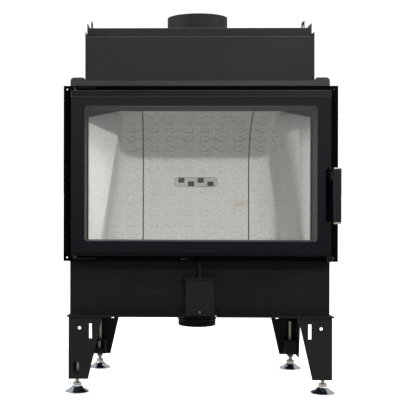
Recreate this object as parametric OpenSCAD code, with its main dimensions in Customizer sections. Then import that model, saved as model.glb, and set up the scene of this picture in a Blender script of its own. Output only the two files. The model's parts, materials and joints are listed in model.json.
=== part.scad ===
// Fireplace insert with a vaulted refractory firebox, a side-hung glass door,
// a lever-operated air vane and four levelling feet.
// +Z is up and the front looks towards -Y. The origin is on the floor, at the centre of the footprint.
// Inside the modules y is the depth behind the surround's front face, and at_front() moves it home.

/* [Surround] */
// Width of the black surround
frame_w = 846; // [760:1:940]
// Height of the surround
frame_h = 542; // [500:1:600]
// Depth of the surround
frame_depth = 52; // [46:1:70]
// Width of the surround's side bands
frame_side = 19.5; // [17:0.5:26]
// Height of its top band
frame_top = 13; // [11:0.5:20]
// Height of its bottom band
frame_bottom = 15.5; // [15:0.5:20]
// Depth of the fold round the door opening
frame_return = 20; // [14:1:26]
// Diameter of the corner holes
corner_hole_d = 5; // [3:0.5:7]
// Distance of the corner holes from the edges
corner_hole_inset = 11; // [9:0.5:13]

/* [Door] */
// Gap between door and surround at each side
door_side_gap = 5; // [4.5:0.5:7]
// Gap above the door
door_top_gap = 3; // [2:0.5:6]
// Gap below the door
door_bottom_gap = 2.5; // [2:0.5:6]
// How far the door stands proud of the surround
door_proud = 20; // [18:1:24]
// Thickness of the ceramic glass
glass_t = 5; // [4:0.5:6]
// Height of the upper steel rail
top_rail_h = 19; // [17:1:30]
// Height of the lower steel rail
bottom_rail_h = 14; // [13:1:25]
// Width of the clear window
window_w = 713; // [600:1:720]
// Height of the clear window
window_h = 417; // [350:1:420]
// Height of the window's lower edge above the surround's lower edge
window_rise = 63; // [60:1:90]
// Width of the door frame's side bars
door_bar = 12; // [11:0.5:14]
// Width of the rope gasket
gasket_w = 10; // [8:0.5:11]

/* [Handle] */
// Length of the grip with its end caps
grip_len = 168; // [130:1:220]
// Width of the grip
grip_w = 22.5; // [18:0.5:26]
// Depth of the grip
grip_depth = 20; // [16:0.5:24]
// Clear finger gap between surround and grip
grip_gap = 72; // [60:1:90]
// Height of each end cap
cap_h = 4.5; // [4:0.5:10]
// Height of the link between door and grip
link_h = 28; // [20:1:40]

/* [Firebox] */
// Width of the opening in the firebox front
mouth_w = 704; // [640:1:708]
// Depth of the refractory back wall behind the surround
back_depth = 350; // [330:1:360]
// Radius of the vault
vault_r = 220; // [200:1:225]
// Radius of the corner between side and back wall
corner_r = 90; // [70:1:110]
// Angle by which the side walls lean in towards the back
splay = 18; // [14:0.5:20]
// Thickness of the refractory pieces
lining_t = 30; // [24:1:32]
// Width of the back panel between the seams
back_panel_w = 364; // [300:1:380]
// Open seam between two lining pieces
seam = 2.4; // [1:0.2:3]
// Thickness of the refractory floor
floor_t = 25; // [20:1:30]

/* [Casing] */
// Width of the casing at its front
casing_w = 815; // [800:1:816]
// Width of the casing at its back
casing_back_w = 722; // [722:1:760]
// Depth from the surround to the casing's back
casing_depth = 433; // [430:1:460]
// Height of the apron under the surround
apron_h = 170; // [160:1:200]
// Thickness of the casing's sheet
sheet = 3; // [2:0.5:3]
// Thickness of the firebox plates
plate = 4; // [3:0.5:4]
// Height of the flange's wings above the surround
wing_h = 32; // [26:1:40]
// Depth of the notch between the wings
wing_notch = 11.5; // [8:0.5:14]

/* [Hood] */
// Outer width of the convection hood
hood_w = 725; // [725:1:732]
// Height of the hood's front plate above the surround
hood_h = 163; // [150:1:180]
// Extra height of the hood's side plates
hood_side_rise = 14; // [8:1:20]
// Width of the smoke box
smoke_w = 718; // [690:1:718]
// Extra height of the smoke box over the hood's front plate
smoke_rise = 33; // [24:1:40]
// Outer diameter of the flue spigot
flue_d = 200; // [150:1:200]
// Height of the flue spigot
flue_h = 69; // [60:1:120]

/* [Air supply] */
// Outer diameter of the outside-air spigot
inlet_d = 125; // [100:1:125]
// Length of the spigot below the base plate
inlet_len = 58; // [50:1:90]
// Width of the air box
air_box_w = 89; // [84:1:100]
// Height of the air box
air_box_h = 113; // [100:1:120]
// Diameter of the control rod
rod_d = 8; // [6:0.5:8]
// Length of the control lever
lever_len = 79; // [70:1:84]
// Angle of the lever to the left of straight forward at rest
lever_rest = 50; // [45:1:50]

/* [Legs] */
// Height of the legs
leg_h = 193; // [170:1:240]
// Height of the legs' lower ends above the floor
foot_gap = 45; // [42:1:60]
// Width of a leg's flange at the top
leg_top_w = 105; // [96:1:120]
// Width of a leg's flange at the bottom
leg_bottom_w = 61; // [56:1:80]
// Sheet thickness of the legs
leg_t = 4; // [3:0.5:5]
// Distance between the outer faces of the front legs
front_track = 816; // [790:1:820]
// Distance between the outer faces of the rear legs
rear_track = 722; // [700:1:730]
// Diameter of the foot's disc
foot_d = 76; // [60:1:90]
// Diameter of the foot's stud
stud_d = 12; // [10:1:14]

/* [Hidden] */
$fn = 64;

// Overrun of every cut
cut = 1;
// Gap between pieces that lie loosely side by side
play = 0.3;
// Radial clearance of pins and rods in their bores
running = 0.05;
// Radial clearance of screws in their holes
screw_play = 0.3;

// Heights above the floor
base_bottom_z = foot_gap + leg_h;
base_z = base_bottom_z + plate;
frame_z = base_z + apron_h;
frame_top_z = frame_z + frame_h;
casing_top_z = frame_top_z + 4 * sheet;
wing_z = frame_top_z + wing_h;
hood_top_z = frame_top_z + hood_h;
smoke_top_z = hood_top_z + smoke_rise;

// Base plate
base_overhang = 6;
base_front_y = 5;
leg_setback = 5;
leg_front_y = base_front_y + leg_setback;
base_back_y = casing_depth + base_overhang - sheet;

// Surround
frame_open_w = frame_w - 2 * frame_side;
frame_open_z0 = frame_z + frame_bottom;
frame_open_z1 = frame_top_z - frame_top;
door_w = frame_open_w - 2 * door_side_gap;
lever_slot_w = 136;
lever_slot_h = 8;
side_hole_inset = 18.5;
side_hole_rise = 9;
side_hole_d = 4;

// Flange behind the surround
rebate_inset = 18.5;
rebate_w = frame_open_w - 2 * rebate_inset;
rebate_z0 = frame_z + frame_bottom - sheet;
rebate_z1 = frame_top_z - frame_top - sheet * 2;
rebate_depth = 28;
mouth_y = frame_depth + rebate_depth;
notch_inset = 52.5;
notch_half = casing_w / 2 - notch_inset;
wing_corner_r = 12;

// Firebox front plate and mouth
mouth_rise = 54;
mouth_top_gap = 72;
mouth_z0 = frame_z + mouth_rise;
mouth_z1 = frame_top_z - mouth_top_gap;
mouth_drop = 19;
mouth_drop_w = 100;
fire_y = mouth_y + plate;
front_plate_inset = 7.5;
front_plate_half = casing_w / 2 - front_plate_inset;

// Lining
vault_y = back_depth - vault_r;
vault_rise = 12;
vault_z = mouth_z1 + vault_rise - vault_r;
ceiling_z = vault_z + vault_r;
lining_top_z = ceiling_z + lining_t;
tip_y = 165;
smoke_gap_inset = 52;
smoke_gap_drop = 42;
facet_drop = 21;
smoke_gap_half = mouth_w / 2 - smoke_gap_inset;
smoke_gap_z = ceiling_z - smoke_gap_drop;
facet_z = mouth_z1 - facet_drop;
facet_slope = 5;
facet_angle = 45;
facet_reach = 400;
corner_y = back_depth - corner_r;
corner_x = mouth_w / 2 - (corner_r + (corner_y - fire_y) * sin(splay)) / cos(splay);
side_end_x = corner_x + corner_r * cos(splay);
side_end_y = corner_y + corner_r * sin(splay);

// Nozzle
nozzle_w = 148;
nozzle_h = 33;
nozzle_t = 12;
nozzle_rise = 190;
nozzle_z = mouth_z0 + nozzle_rise;
port_w = 20;
port_h = 15;
port_pitch = 33.6;
port_stagger = 6;
port_count = 4;

// Secondary air duct
duct_w = 180;
duct_depth = 16;
duct_rise = 40;

// Smoke box, deflector and hood
hood_y = 70;
hood_back_y = 370;
hood_fold = 12;
smoke_y = 103;
smoke_back_y = 364;
ear_rise = 14;
ear_len = 90;
smoke_roof_drop = 14;
smoke_roof_z = smoke_top_z - smoke_roof_drop;
slot_margin = 5;
deflector_gap = 100;
deflector_z = lining_top_z + deflector_gap;
deflector_back_y = 320;
flue_y = 245;
flue_wall = 3;
flue_flange_w = 10;
flue_seat_w = 5;
lug_y = 226;
lug_w = 54;
lug_t = 3;
lug_high = 45;
lug_edge_r = 8;
lug_hole_d = 34;
lug_wall = 8;

// Apron, shelf and air box
lip_depth = 32;
tab_w = 25;
tab_x_inner = 133;
tab_x_outer = 313.5;
tab_proud = 1;
shelf_rise = 68;
shelf_z = base_z + shelf_rise;
air_box_y = 34;
air_box_len = 86;
air_box_wall = 2;
lid_w = 98.5;
lid_h = 7;
lid_front = 5;
box_lip_h = 3;
side_port_y = 64;
side_port_len = 30;
side_port_h = 24;
rod_y = 43;
bush_d = 12.8;
bush_h = 10;
lever_t = 4;
lever_w = 9;
lever_hub_d = 16;
lever_rise = 6;
vane_len = 50;
vane_t = 2;
vane_play = 2;
vane_z0 = base_z + air_box_wall + vane_play;
vane_z1 = base_z + air_box_h - air_box_wall - vane_play;
inlet_y = 240;
inlet_wall = 2;
inlet_flange_w = 12;
bead_d = 5;
bead_drop = 36;
box_notch_w = 102;
box_notch_y = 48;

// Hinge
hinge_inset = 13.5;
hinge_x = hinge_inset - door_w / 2;
hinge_y = -10;
hinge_pin_d = 8;
bush_wall = 3;
shoulder_d = 13;
bracket_l = 63;
bracket_h = 6;
bracket_depth = 18;
bracket_gap = 6;
pin_hole_d = 10;

// Door
door_z0 = frame_open_z0 + door_bottom_gap;
door_z1 = frame_open_z1 - door_top_gap;
glass_z0 = door_z0 + bottom_rail_h;
glass_z1 = door_z1 - top_rail_h;
glass_back_y = glass_t - door_proud;
window_z0 = frame_z + window_rise;
window_z1 = window_z0 + window_h;
rail_depth = 25;
rail_t = 2;
seal_t = 3;
seal_w = 8;
bar_gap = 0.5;
gasket_t = 10;
door_frame_half = window_w / 2 + bar_gap + door_bar;
door_frame_y1 = mouth_y - gasket_t;
gasket_inset = 1;
gasket_high = 10;

// Handle
handle_inset = 8.5;
handle_x = door_w / 2 - handle_inset;
handle_y = -8;
handle_pin_d = 8;
knuckle_wall = 2.5;
handle_rise = 205;
handle_z = frame_z + handle_rise;
link_rise = 75;
link_top = handle_z + link_rise;
link_z0 = link_top - link_h;
link_t = 4.5;
link_gap = 1;
arm_h = 10;
nose_reach = 12;
nose_y = 14;
nose_l = 12;
nose_h = 12;
nose_rise = 8;
nose_z0 = link_z0 + nose_rise;
lug_plate = 8.4;
bracket_reach = 6;
grip_inset = 5;
grip_x = door_w / 2 - grip_inset;
grip_edge_r = 4;
keeper_w = 9.5;
keeper_h = 8;
keeper_len = 14;
keeper_y = 6;
rest_w = 15;
rest_h = 8;
rest_inset = 10.5;
rest_x = door_w / 2 - rest_inset;

// Legs and feet
leg_hole_d = 10;
leg_hole_x = 34;
leg_hole_drop = 34.5;
leg_slot_w = 10;
leg_slot_h = 46.5;
leg_slot_x = 69;
leg_slot_drop = 20.5;
relief_d = 4;
foot_window_x = 15;
foot_window_w = 17.5;
foot_window_z = 14.5;
foot_window_h = 37;
leg_tab = 80;
leg_bolt_d = 8;
leg_bolt_head_d = 14;
leg_bolt_head_h = 5;
leg_bolt_end = 6;
carrier = 42;
carrier_low = 7;
carrier_h = 48.5;
carrier_block_h = 15;
foot_inset = leg_t + carrier / 2;
nut_af = 19;
nut_h = 10;
disc_h = 4;
dome_h = 15;
dome_top_d = 29;
flare_out_share = 0.5;
flare_up_share = 0.38;
hex_h = 11;
hex_d = 28;
stud_reach = 121;
stud_top = foot_gap + stud_reach;

// Corners of the legs: x, y and turn about the vertical
leg_front_x = front_track / 2;
leg_rear_x = rear_track / 2;
leg_rear_y = base_back_y - base_overhang;
leg_corners = [
    [-leg_front_x, leg_front_y, 0], [leg_front_x, leg_front_y, 90],
    [leg_rear_x, leg_rear_y, 180], [-leg_rear_x, leg_rear_y, 270]
];
leg_bolt_share = 0.62;
leg_bolt_x = leg_t + leg_tab * leg_bolt_share;

// Footprint: the grip is the foremost point, the base plate or a rear foot the rearmost
foot_back_y = leg_rear_y - foot_inset + foot_d / 2;
front_y = (grip_gap + grip_depth - max(base_back_y, foot_back_y)) / 2;

// Small screws
screw_d = 4;
screw_head_d = 8;
screw_head_h = 2.4;
apron_screw_x = 60;
apron_screw_rise = 15;
corner_screw_x = 362;
corner_screw_step = 23;
corner_screw_drop = 9;
box_screw_z = base_z + 2 * screw_d;
apron_screws = [
    [-apron_screw_x, base_z + apron_screw_rise], [apron_screw_x, base_z + apron_screw_rise],
    [-corner_screw_x, frame_z - corner_screw_drop],
    [corner_screw_step - corner_screw_x, frame_z - corner_screw_drop]
];

// Moves a module's content from the surround's front face to the part's own frame
module at_front() {
    translate([0, front_y, 0]) children();
}

// A block from its lowest to its highest corner
module block(x0, x1, y0, y1, z0, z1) {
    translate([x0, y0, z0]) cube([x1 - x0, y1 - y0, z1 - z0]);
}

// The same shape on both sides of the middle plane
module both_sides() {
    children();
    mirror([1, 0, 0]) children();
}

// An upright round bar or bore
module post(x, y, z0, z1, d, sides = 64) {
    translate([x, y, z0]) cylinder(h = z1 - z0, d = d, $fn = sides);
}

// A rectangle with round corners, as an exact outline
module rounded_rect(w, h, r) {
    square([w - 2 * r, h], center = true);
    square([w, h - 2 * r], center = true);
    for (i = [-1, 1], j = [-1, 1])
        translate([i * (w / 2 - r), j * (h / 2 - r)]) circle(r = r);
}

// Half width of the casing at a depth
function casing_half(y) =
    casing_w / 2 - (casing_w - casing_back_w) / 2 * (y - frame_depth) / (casing_depth - frame_depth);

// Horizontal plate with the casing's taper, held clear of its side walls by inset
module tapered_plate(y0, y1, z0, z1, inset) {
    a = casing_half(y0) - inset;
    b = casing_half(y1) - inset;
    translate([0, 0, z0])
        linear_extrude(z1 - z0) polygon([[-a, y0], [a, y0], [b, y1], [-b, y1]]);
}

// Plan of the fire chamber, grown outwards all round by g
module chamber_plan(g, front) {
    r = corner_r + g;
    half = mouth_w / 2 + g / cos(splay);
    at_front_half = half - (front - fire_y) * tan(splay);
    end_x = corner_x + r * cos(splay);
    end_y = corner_y + r * sin(splay);
    polygon([
        [-at_front_half, front], [at_front_half, front], [end_x, end_y], [corner_x, corner_y],
        [corner_x, back_depth + g], [-corner_x, back_depth + g], [-corner_x, corner_y], [-end_x, end_y]
    ]);
    for (s = [-1, 1]) translate([s * corner_x, corner_y]) circle(r = r, $fn = 96);
}

// Side view of the fire chamber with the vault over its back, grown outwards by g
module chamber_section(g, front) {
    r = vault_r + g;
    translate([front, frame_z - cut]) square([back_depth + g - front, vault_z - frame_z + cut]);
    translate([front, frame_z - cut]) square([vault_y - front, ceiling_z + g - frame_z + cut]);
    translate([vault_y, vault_z]) circle(r = r, $fn = 128);
}

// Half space over the sloping facet between a side wall and the ceiling
module facet_cut(g) {
    translate([mouth_w / 2, fire_y, facet_z])
        rotate([0, 0, splay]) rotate([-facet_slope, 0, 0]) rotate([0, facet_angle, 0])
            translate([-facet_reach, -facet_reach / 2, g])
                cube([2 * facet_reach, 2 * facet_reach, facet_reach]);
}

// The fire chamber as a solid, grown outwards by g, from its front plane to the back wall
module chamber(g, front) {
    difference() {
        intersection() {
            translate([0, 0, frame_z]) linear_extrude(lining_top_z - frame_z) chamber_plan(g, front);
            translate([-mouth_w, 0, 0])
                rotate([90, 0, 90]) linear_extrude(2 * mouth_w) chamber_section(g, front);
        }
        both_sides() facet_cut(g);
    }
}

// Refractory wall between two x positions, open at the front and at the smoke gap
module lining_slice(x0, x1) {
    difference() {
        intersection() {
            chamber(lining_t, fire_y);
            block(x0, x1, fire_y, back_depth + 2 * lining_t, frame_z, lining_top_z);
        }
        translate([0, 0, -cut]) chamber_void();
        block(-smoke_gap_half, smoke_gap_half, fire_y - cut, tip_y, smoke_gap_z, lining_top_z + cut);
    }
}

// The open chamber, run out through the front and the floor
module chamber_void() {
    chamber(0, fire_y - cut);
    translate([0, 0, 2 * cut]) chamber(0, fire_y - cut);
}

// Surround

module front_frame() color("#0c0c0d") at_front() {
    half = frame_w / 2;
    open_half = frame_open_w / 2;
    difference() {
        block(-half, half, 0, frame_depth, frame_z, frame_top_z);
        block(-open_half, open_half, -cut, frame_depth + cut, frame_open_z0, frame_open_z1);
        difference() {
            block(-half + sheet, half - sheet, sheet, frame_depth + cut,
                frame_z + sheet, frame_top_z - sheet);
            block(-open_half - sheet, open_half + sheet, 0, frame_return,
                frame_open_z0 - sheet, frame_open_z1 + sheet);
        }
        for (x = [-1, 1], z = [frame_z + corner_hole_inset, frame_top_z - corner_hole_inset])
            translate([x * (half - corner_hole_inset), -cut, z])
                rotate([-90, 0, 0]) cylinder(h = sheet + 2 * cut, d = corner_hole_d);
        block(-lever_slot_w / 2, lever_slot_w / 2, -cut, sheet + cut,
            frame_z + lever_rise - (lever_slot_h - lever_t) / 2,
            frame_z + lever_rise + (lever_slot_h + lever_t) / 2);
        post(0, rod_y, frame_z - cut, frame_z + sheet + cut, rod_d + 2 * screw_play);
    }
}

module front_flange() color("#353433") at_front() {
    half = casing_w / 2;
    shoulder = wing_notch;
    difference() {
        union() {
            translate([0, frame_depth + sheet, 0]) rotate([90, 0, 0]) linear_extrude(sheet) {
                polygon([
                    [-half, frame_z], [half, frame_z], [half, wing_z - wing_corner_r],
                    [half - wing_corner_r, wing_z], [notch_half + shoulder, wing_z],
                    [notch_half, wing_z - wing_notch], [-notch_half, wing_z - wing_notch],
                    [-notch_half - shoulder, wing_z], [-half + wing_corner_r, wing_z],
                    [-half, wing_z - wing_corner_r]
                ]);
                for (s = [-1, 1])
                    translate([s * (half - wing_corner_r), wing_z - wing_corner_r])
                        circle(r = wing_corner_r);
            }
            block(-rebate_w / 2 - sheet, rebate_w / 2 + sheet, frame_depth + sheet / 2, mouth_y,
                rebate_z0 - sheet, rebate_z1 + sheet);
        }
        block(-rebate_w / 2, rebate_w / 2, frame_depth - cut, mouth_y + cut, rebate_z0, rebate_z1);
        translate([side_hole_inset - casing_w / 2, frame_depth - cut, frame_top_z + side_hole_rise])
            rotate([-90, 0, 0]) cylinder(h = sheet + 2 * cut, d = side_hole_d);
    }
}

// Casing

module casing_jacket() color("#1c1b1b") at_front() {
    a = casing_w / 2;
    b = casing_back_w / 2;
    y0 = frame_depth + sheet;
    translate([0, 0, base_z]) linear_extrude(casing_top_z - base_z) difference() {
        polygon([[-casing_half(y0), y0], [casing_half(y0), y0], [b, casing_depth], [-b, casing_depth]]);
        polygon([
            [-casing_half(y0 - cut) + sheet, y0 - cut], [casing_half(y0 - cut) - sheet, y0 - cut],
            [casing_half(casing_depth - sheet) - sheet, casing_depth - sheet],
            [-casing_half(casing_depth - sheet) + sheet, casing_depth - sheet]
        ]);
    }
}

module casing_top_plate() color("#262525") at_front() {
    difference() {
        tapered_plate(frame_depth + sheet, casing_depth, casing_top_z, casing_top_z + sheet, 0);
        block(-smoke_w / 2 - play, smoke_w / 2 + play, hood_y + 2 * sheet,
            hood_back_y - 2 * sheet, casing_top_z - cut, casing_top_z + sheet + cut);
    }
}

module lower_front_plate() color("#171616") at_front() {
    half = casing_w / 2;
    difference() {
        union() {
            block(-half, half, frame_depth, frame_depth + sheet, base_z, frame_z);
            block(-half, half, frame_depth - lip_depth, frame_depth, frame_z - sheet, frame_z);
        }
        for (x = [-tab_x_outer, -tab_x_inner, tab_x_inner, tab_x_outer])
            block(x - tab_w / 2 - play, x + tab_w / 2 + play, frame_depth - cut,
                frame_depth + sheet + cut, shelf_z - play, shelf_z + sheet + play);
        block(-air_box_w / 2, air_box_w / 2, frame_depth - cut, frame_depth + sheet + cut,
            base_z - cut, base_z + air_box_h);
        post(0, rod_y, frame_z - sheet - cut, frame_z + cut, rod_d + 2 * screw_play);
        for (p = apron_screws)
            translate([p[0], frame_depth - cut, p[1]])
                rotate([-90, 0, 0]) cylinder(h = sheet + 2 * cut, d = screw_d + 2 * screw_play);
    }
}

module plenum_shelf() color("#171616") at_front() {
    y0 = frame_depth + sheet;
    difference() {
        union() {
            tapered_plate(y0, casing_depth - sheet - play, shelf_z, shelf_z + sheet, sheet + play);
            for (x = [-tab_x_outer, -tab_x_inner, tab_x_inner, tab_x_outer])
                block(x - tab_w / 2, x + tab_w / 2, frame_depth - tab_proud, y0 + sheet, shelf_z, shelf_z + sheet);
        }
        block(-air_box_w / 2, air_box_w / 2, y0 - cut, air_box_y + air_box_len,
            shelf_z - cut, shelf_z + sheet + cut);
    }
}

module base_plate() color("#3a3938") at_front() {
    difference() {
        translate([0, 0, base_bottom_z]) linear_extrude(plate) polygon([
            [-front_track / 2 - base_overhang, base_front_y],
            [front_track / 2 + base_overhang, base_front_y],
            [rear_track / 2 + base_overhang, base_back_y],
            [-rear_track / 2 - base_overhang, base_back_y]
        ]);
        block(-box_notch_w / 2, box_notch_w / 2, base_front_y - cut, box_notch_y,
            base_bottom_z - cut, base_z + cut);
        post(0, inlet_y, base_bottom_z - cut, base_z + cut, inlet_d - 2 * inlet_wall);
        for (c = leg_corners) leg_place(c)
            post(leg_bolt_x, leg_bolt_x, base_bottom_z - cut, base_z + cut, leg_bolt_d + 2 * screw_play);
    }
}

// Firebox

module firebox_front_plate() color("#3c3c3c") at_front() {
    half = mouth_w / 2;
    translate([0, fire_y, 0]) rotate([90, 0, 0]) linear_extrude(plate) difference() {
        translate([-front_plate_half, frame_z]) square([2 * front_plate_half, lining_top_z + plate - frame_z]);
        polygon([
            [-half, mouth_z0], [half, mouth_z0], [half, mouth_z1 - mouth_drop],
            [half - mouth_drop_w, mouth_z1], [-half + mouth_drop_w, mouth_z1],
            [-half, mouth_z1 - mouth_drop]
        ]);
    }
}

// Half width of the firebox jacket's inner face at a depth
function jacket_half(y) =
    mouth_w / 2 + (lining_t + play) / cos(splay) - (y - fire_y) * tan(splay);

module firebox_jacket() color("#4a4948") at_front() {
    y1 = back_depth + lining_t + play;
    t = plate / cos(splay);
    difference() {
        translate([0, 0, frame_z]) linear_extrude(lining_top_z - frame_z) difference() {
            polygon([
                [-jacket_half(fire_y) - t, fire_y], [jacket_half(fire_y) + t, fire_y],
                [jacket_half(y1 + plate) + t, y1 + plate], [-jacket_half(y1 + plate) - t, y1 + plate]
            ]);
            polygon([
                [-jacket_half(fire_y - cut), fire_y - cut], [jacket_half(fire_y - cut), fire_y - cut],
                [jacket_half(y1), y1], [-jacket_half(y1), y1]
            ]);
        }
        block(-nozzle_w / 2, nozzle_w / 2, y1 - cut, y1 + plate + cut,
            nozzle_z - nozzle_h / 2, nozzle_z + nozzle_h / 2);
    }
}

module firebox_floor_plate() color("#4a4948") at_front() {
    tapered_plate(mouth_y, casing_depth - sheet - play, frame_z - plate, frame_z, sheet + play);
}

module firebox_top_plate() color("#4a4948") at_front() {
    y1 = back_depth + lining_t + play + plate;
    difference() {
        tapered_plate(fire_y, y1, lining_top_z, lining_top_z + plate, 2 * sheet);
        block(-smoke_gap_half, smoke_gap_half, smoke_y + plate + slot_margin, tip_y,
            lining_top_z - cut, lining_top_z + plate + cut);
    }
}

// Lining

module lining_back() color("#b0afaa") at_front() {
    half = (back_panel_w - seam) / 2;
    difference() {
        lining_slice(-half, half);
        translate([0, back_depth - cut, nozzle_z]) rotate([-90, 0, 0])
            linear_extrude(lining_t + 3 * cut)
                rounded_rect(nozzle_w + 2 * play, nozzle_h + 2 * play, nozzle_h / 3);
    }
}

module lining_left() color("#c4c3be") at_front()
    lining_slice(-mouth_w, -(back_panel_w + seam) / 2);

module lining_right() color("#bab9b4") at_front()
    lining_slice((back_panel_w + seam) / 2, mouth_w);

module lining_floor() color("#a5a49f") at_front()
    translate([0, 0, frame_z]) linear_extrude(floor_t) chamber_plan(-play, fire_y + play);

module nozzle_plate() color("#8f8e89") at_front() {
    first = -(port_count - 1) / 2 * port_pitch;
    difference() {
        translate([0, back_depth, nozzle_z]) rotate([-90, 0, 0])
            linear_extrude(nozzle_t) rounded_rect(nozzle_w, nozzle_h, nozzle_h / 3);
        for (i = [0 : port_count - 1])
            translate([first + i * port_pitch, back_depth, nozzle_z + (i % 2 == 0 ? 1 : -1) * port_stagger])
                cube([port_w, 3 * nozzle_t, port_h], center = true);
    }
}

module secondary_air_duct() color("#4a4948") at_front() {
    y0 = back_depth + lining_t + play + plate;
    difference() {
        block(-duct_w / 2, duct_w / 2, y0, y0 + duct_depth, frame_z, nozzle_z + duct_rise);
        block(-duct_w / 2 + sheet, duct_w / 2 - sheet, y0 - cut, y0 + duct_depth - sheet,
            frame_z - cut, nozzle_z + duct_rise - sheet);
    }
}

// Smoke box, hood and flue

module hood_jacket() color("#343432") at_front() {
    half = hood_w / 2;
    z0 = casing_top_z + sheet;
    side_z = hood_top_z + hood_side_rise;
    block(-half + sheet, half - sheet, hood_y, hood_y + sheet, z0, hood_top_z);
    block(-half + sheet, half - sheet, hood_y + sheet, hood_y + hood_fold, hood_top_z - sheet, hood_top_z);
    both_sides() block(half - sheet, half, hood_y, hood_back_y, z0, side_z);
    block(-half + sheet, half - sheet, hood_back_y - sheet, hood_back_y, z0, side_z);
}

module smoke_box() color("#302f2e") at_front() {
    half = smoke_w / 2;
    z0 = lining_top_z + plate;
    difference() {
        union() {
            block(-half, half, smoke_y, smoke_back_y, z0, smoke_top_z);
            both_sides() translate([half - sheet, 0, 0]) rotate([90, 0, 90]) linear_extrude(sheet)
                polygon([
                    [smoke_y, smoke_top_z - ear_rise], [smoke_y, smoke_top_z + ear_rise],
                    [smoke_y + ear_len - ear_rise, smoke_top_z + ear_rise],
                    [smoke_y + ear_len, smoke_top_z], [smoke_y + ear_len, smoke_top_z - ear_rise]
                ]);
        }
        block(-half + sheet, half - sheet, smoke_y + sheet, smoke_back_y - sheet,
            z0 - cut, smoke_top_z + cut);
    }
}

module smoke_box_top_plate() color("#2c2b2a") at_front() {
    hole_d = flue_d + 2 * (flue_flange_w - flue_seat_w);
    difference() {
        block(-smoke_w / 2 + sheet, smoke_w / 2 - sheet, smoke_y + sheet, smoke_back_y - sheet,
            smoke_roof_z - plate, smoke_roof_z);
        post(0, flue_y, smoke_roof_z - plate - cut, smoke_roof_z + cut, hole_d, 128);
    }
}

module smoke_deflector() color("#4a4948") at_front()
    block(-smoke_w / 2 + sheet, smoke_w / 2 - sheet, smoke_y + sheet, deflector_back_y,
        deflector_z, deflector_z + plate);

module flue_collar() color("#2f2f2d") at_front()
    translate([0, flue_y, smoke_roof_z]) rotate_extrude($fn = 128) {
        translate([flue_d / 2 - flue_wall, 0]) square([flue_wall + flue_flange_w, plate]);
        translate([flue_d / 2 - flue_wall, 0]) square([flue_wall, flue_h]);
    }

module lifting_lugs() color("#262525") at_front() both_sides() {
    x = smoke_w / 2 - sheet - lug_t;
    top = smoke_top_z + lug_high;
    difference() {
        translate([x, 0, 0]) rotate([90, 0, 90]) linear_extrude(lug_t) {
            translate([lug_y, smoke_roof_z]) square([lug_w, top - lug_edge_r - smoke_roof_z]);
            translate([lug_y + lug_edge_r, smoke_roof_z])
                square([lug_w - 2 * lug_edge_r, top - smoke_roof_z]);
            for (y = [lug_y + lug_edge_r, lug_y + lug_w - lug_edge_r])
                translate([y, top - lug_edge_r]) circle(r = lug_edge_r);
        }
        translate([x - cut, lug_y + lug_w / 2, top - lug_wall - lug_hole_d / 2])
            rotate([0, 90, 0]) cylinder(h = lug_t + 2 * cut, d = lug_hole_d);
    }
}

// Air supply and its control

module air_box() color("#2b2a2a") at_front() {
    half = air_box_w / 2;
    w = air_box_wall;
    y1 = air_box_y + air_box_len;
    top = base_z + air_box_h;
    difference() {
        union() {
            block(-half, half, air_box_y, y1, base_z, top);
            block(-lid_w / 2, lid_w / 2, air_box_y - box_lip_h, air_box_y, base_z, base_z + box_lip_h);
        }
        block(-half + w, half - w, air_box_y + w, y1 - w, base_z + w, top - w);
        block(-half + w, half - w, y1 - w - cut, y1 + cut, base_z + w, shelf_z - w);
        post(0, rod_y, top - w - cut, top + cut, rod_d + 2 * screw_play);
        both_sides() block(half - w - cut, half + cut, side_port_y, side_port_y + side_port_len,
            shelf_z + 2 * sheet, shelf_z + 2 * sheet + side_port_h);
        translate([0, air_box_y - cut, box_screw_z])
            rotate([-90, 0, 0]) cylinder(h = w + 2 * cut, d = screw_d + 2 * screw_play);
    }
}

module air_box_lid() color("#302f2f") at_front() {
    z0 = base_z + air_box_h;
    difference() {
        block(-lid_w / 2, lid_w / 2, air_box_y - lid_front, frame_depth, z0 - lid_h / 2, z0 + lid_h / 2);
        block(-air_box_w / 2, air_box_w / 2, air_box_y, frame_depth + cut, z0 - lid_h, z0);
        post(0, rod_y, z0 - lid_h, z0 + lid_h, rod_d + 2 * screw_play);
    }
}

module rod_bush() color("#3a3938") at_front() {
    z0 = base_z + air_box_h + lid_h / 2;
    difference() {
        post(0, rod_y, z0, z0 + bush_h, bush_d);
        post(0, rod_y, z0 - cut, z0 + bush_h + cut, rod_d + 2 * running);
    }
}

module air_inlet_collar() color("#3c3a36") at_front()
    translate([0, inlet_y, base_bottom_z - inlet_len]) rotate_extrude($fn = 128) {
        translate([inlet_d / 2 - inlet_wall, 0]) square([inlet_wall, inlet_len]);
        translate([inlet_d / 2, inlet_len - inlet_wall]) square([inlet_flange_w, inlet_wall]);
        translate([inlet_d / 2, inlet_len - bead_drop]) circle(d = bead_d, $fn = 32);
    }

module air_rod() color("#55524e") at_front()
    post(0, rod_y, base_z + air_box_wall + play, frame_z + lever_rise + lever_t, rod_d);

module air_lever() color("#7d7a75") at_front() translate([0, rod_y, frame_z + lever_rise]) {
    difference() {
        union() {
            cylinder(h = lever_t, d = lever_hub_d);
            rotate([0, 0, -90 - lever_rest]) translate([0, -lever_w / 2, 0])
                cube([lever_len - lever_w / 2, lever_w, lever_t]);
            rotate([0, 0, -90 - lever_rest]) translate([lever_len - lever_w / 2, 0, 0])
                cylinder(h = lever_t, d = lever_w);
        }
        translate([0, 0, -cut]) cylinder(h = lever_t + 2 * cut, d = rod_d);
    }
}

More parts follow.
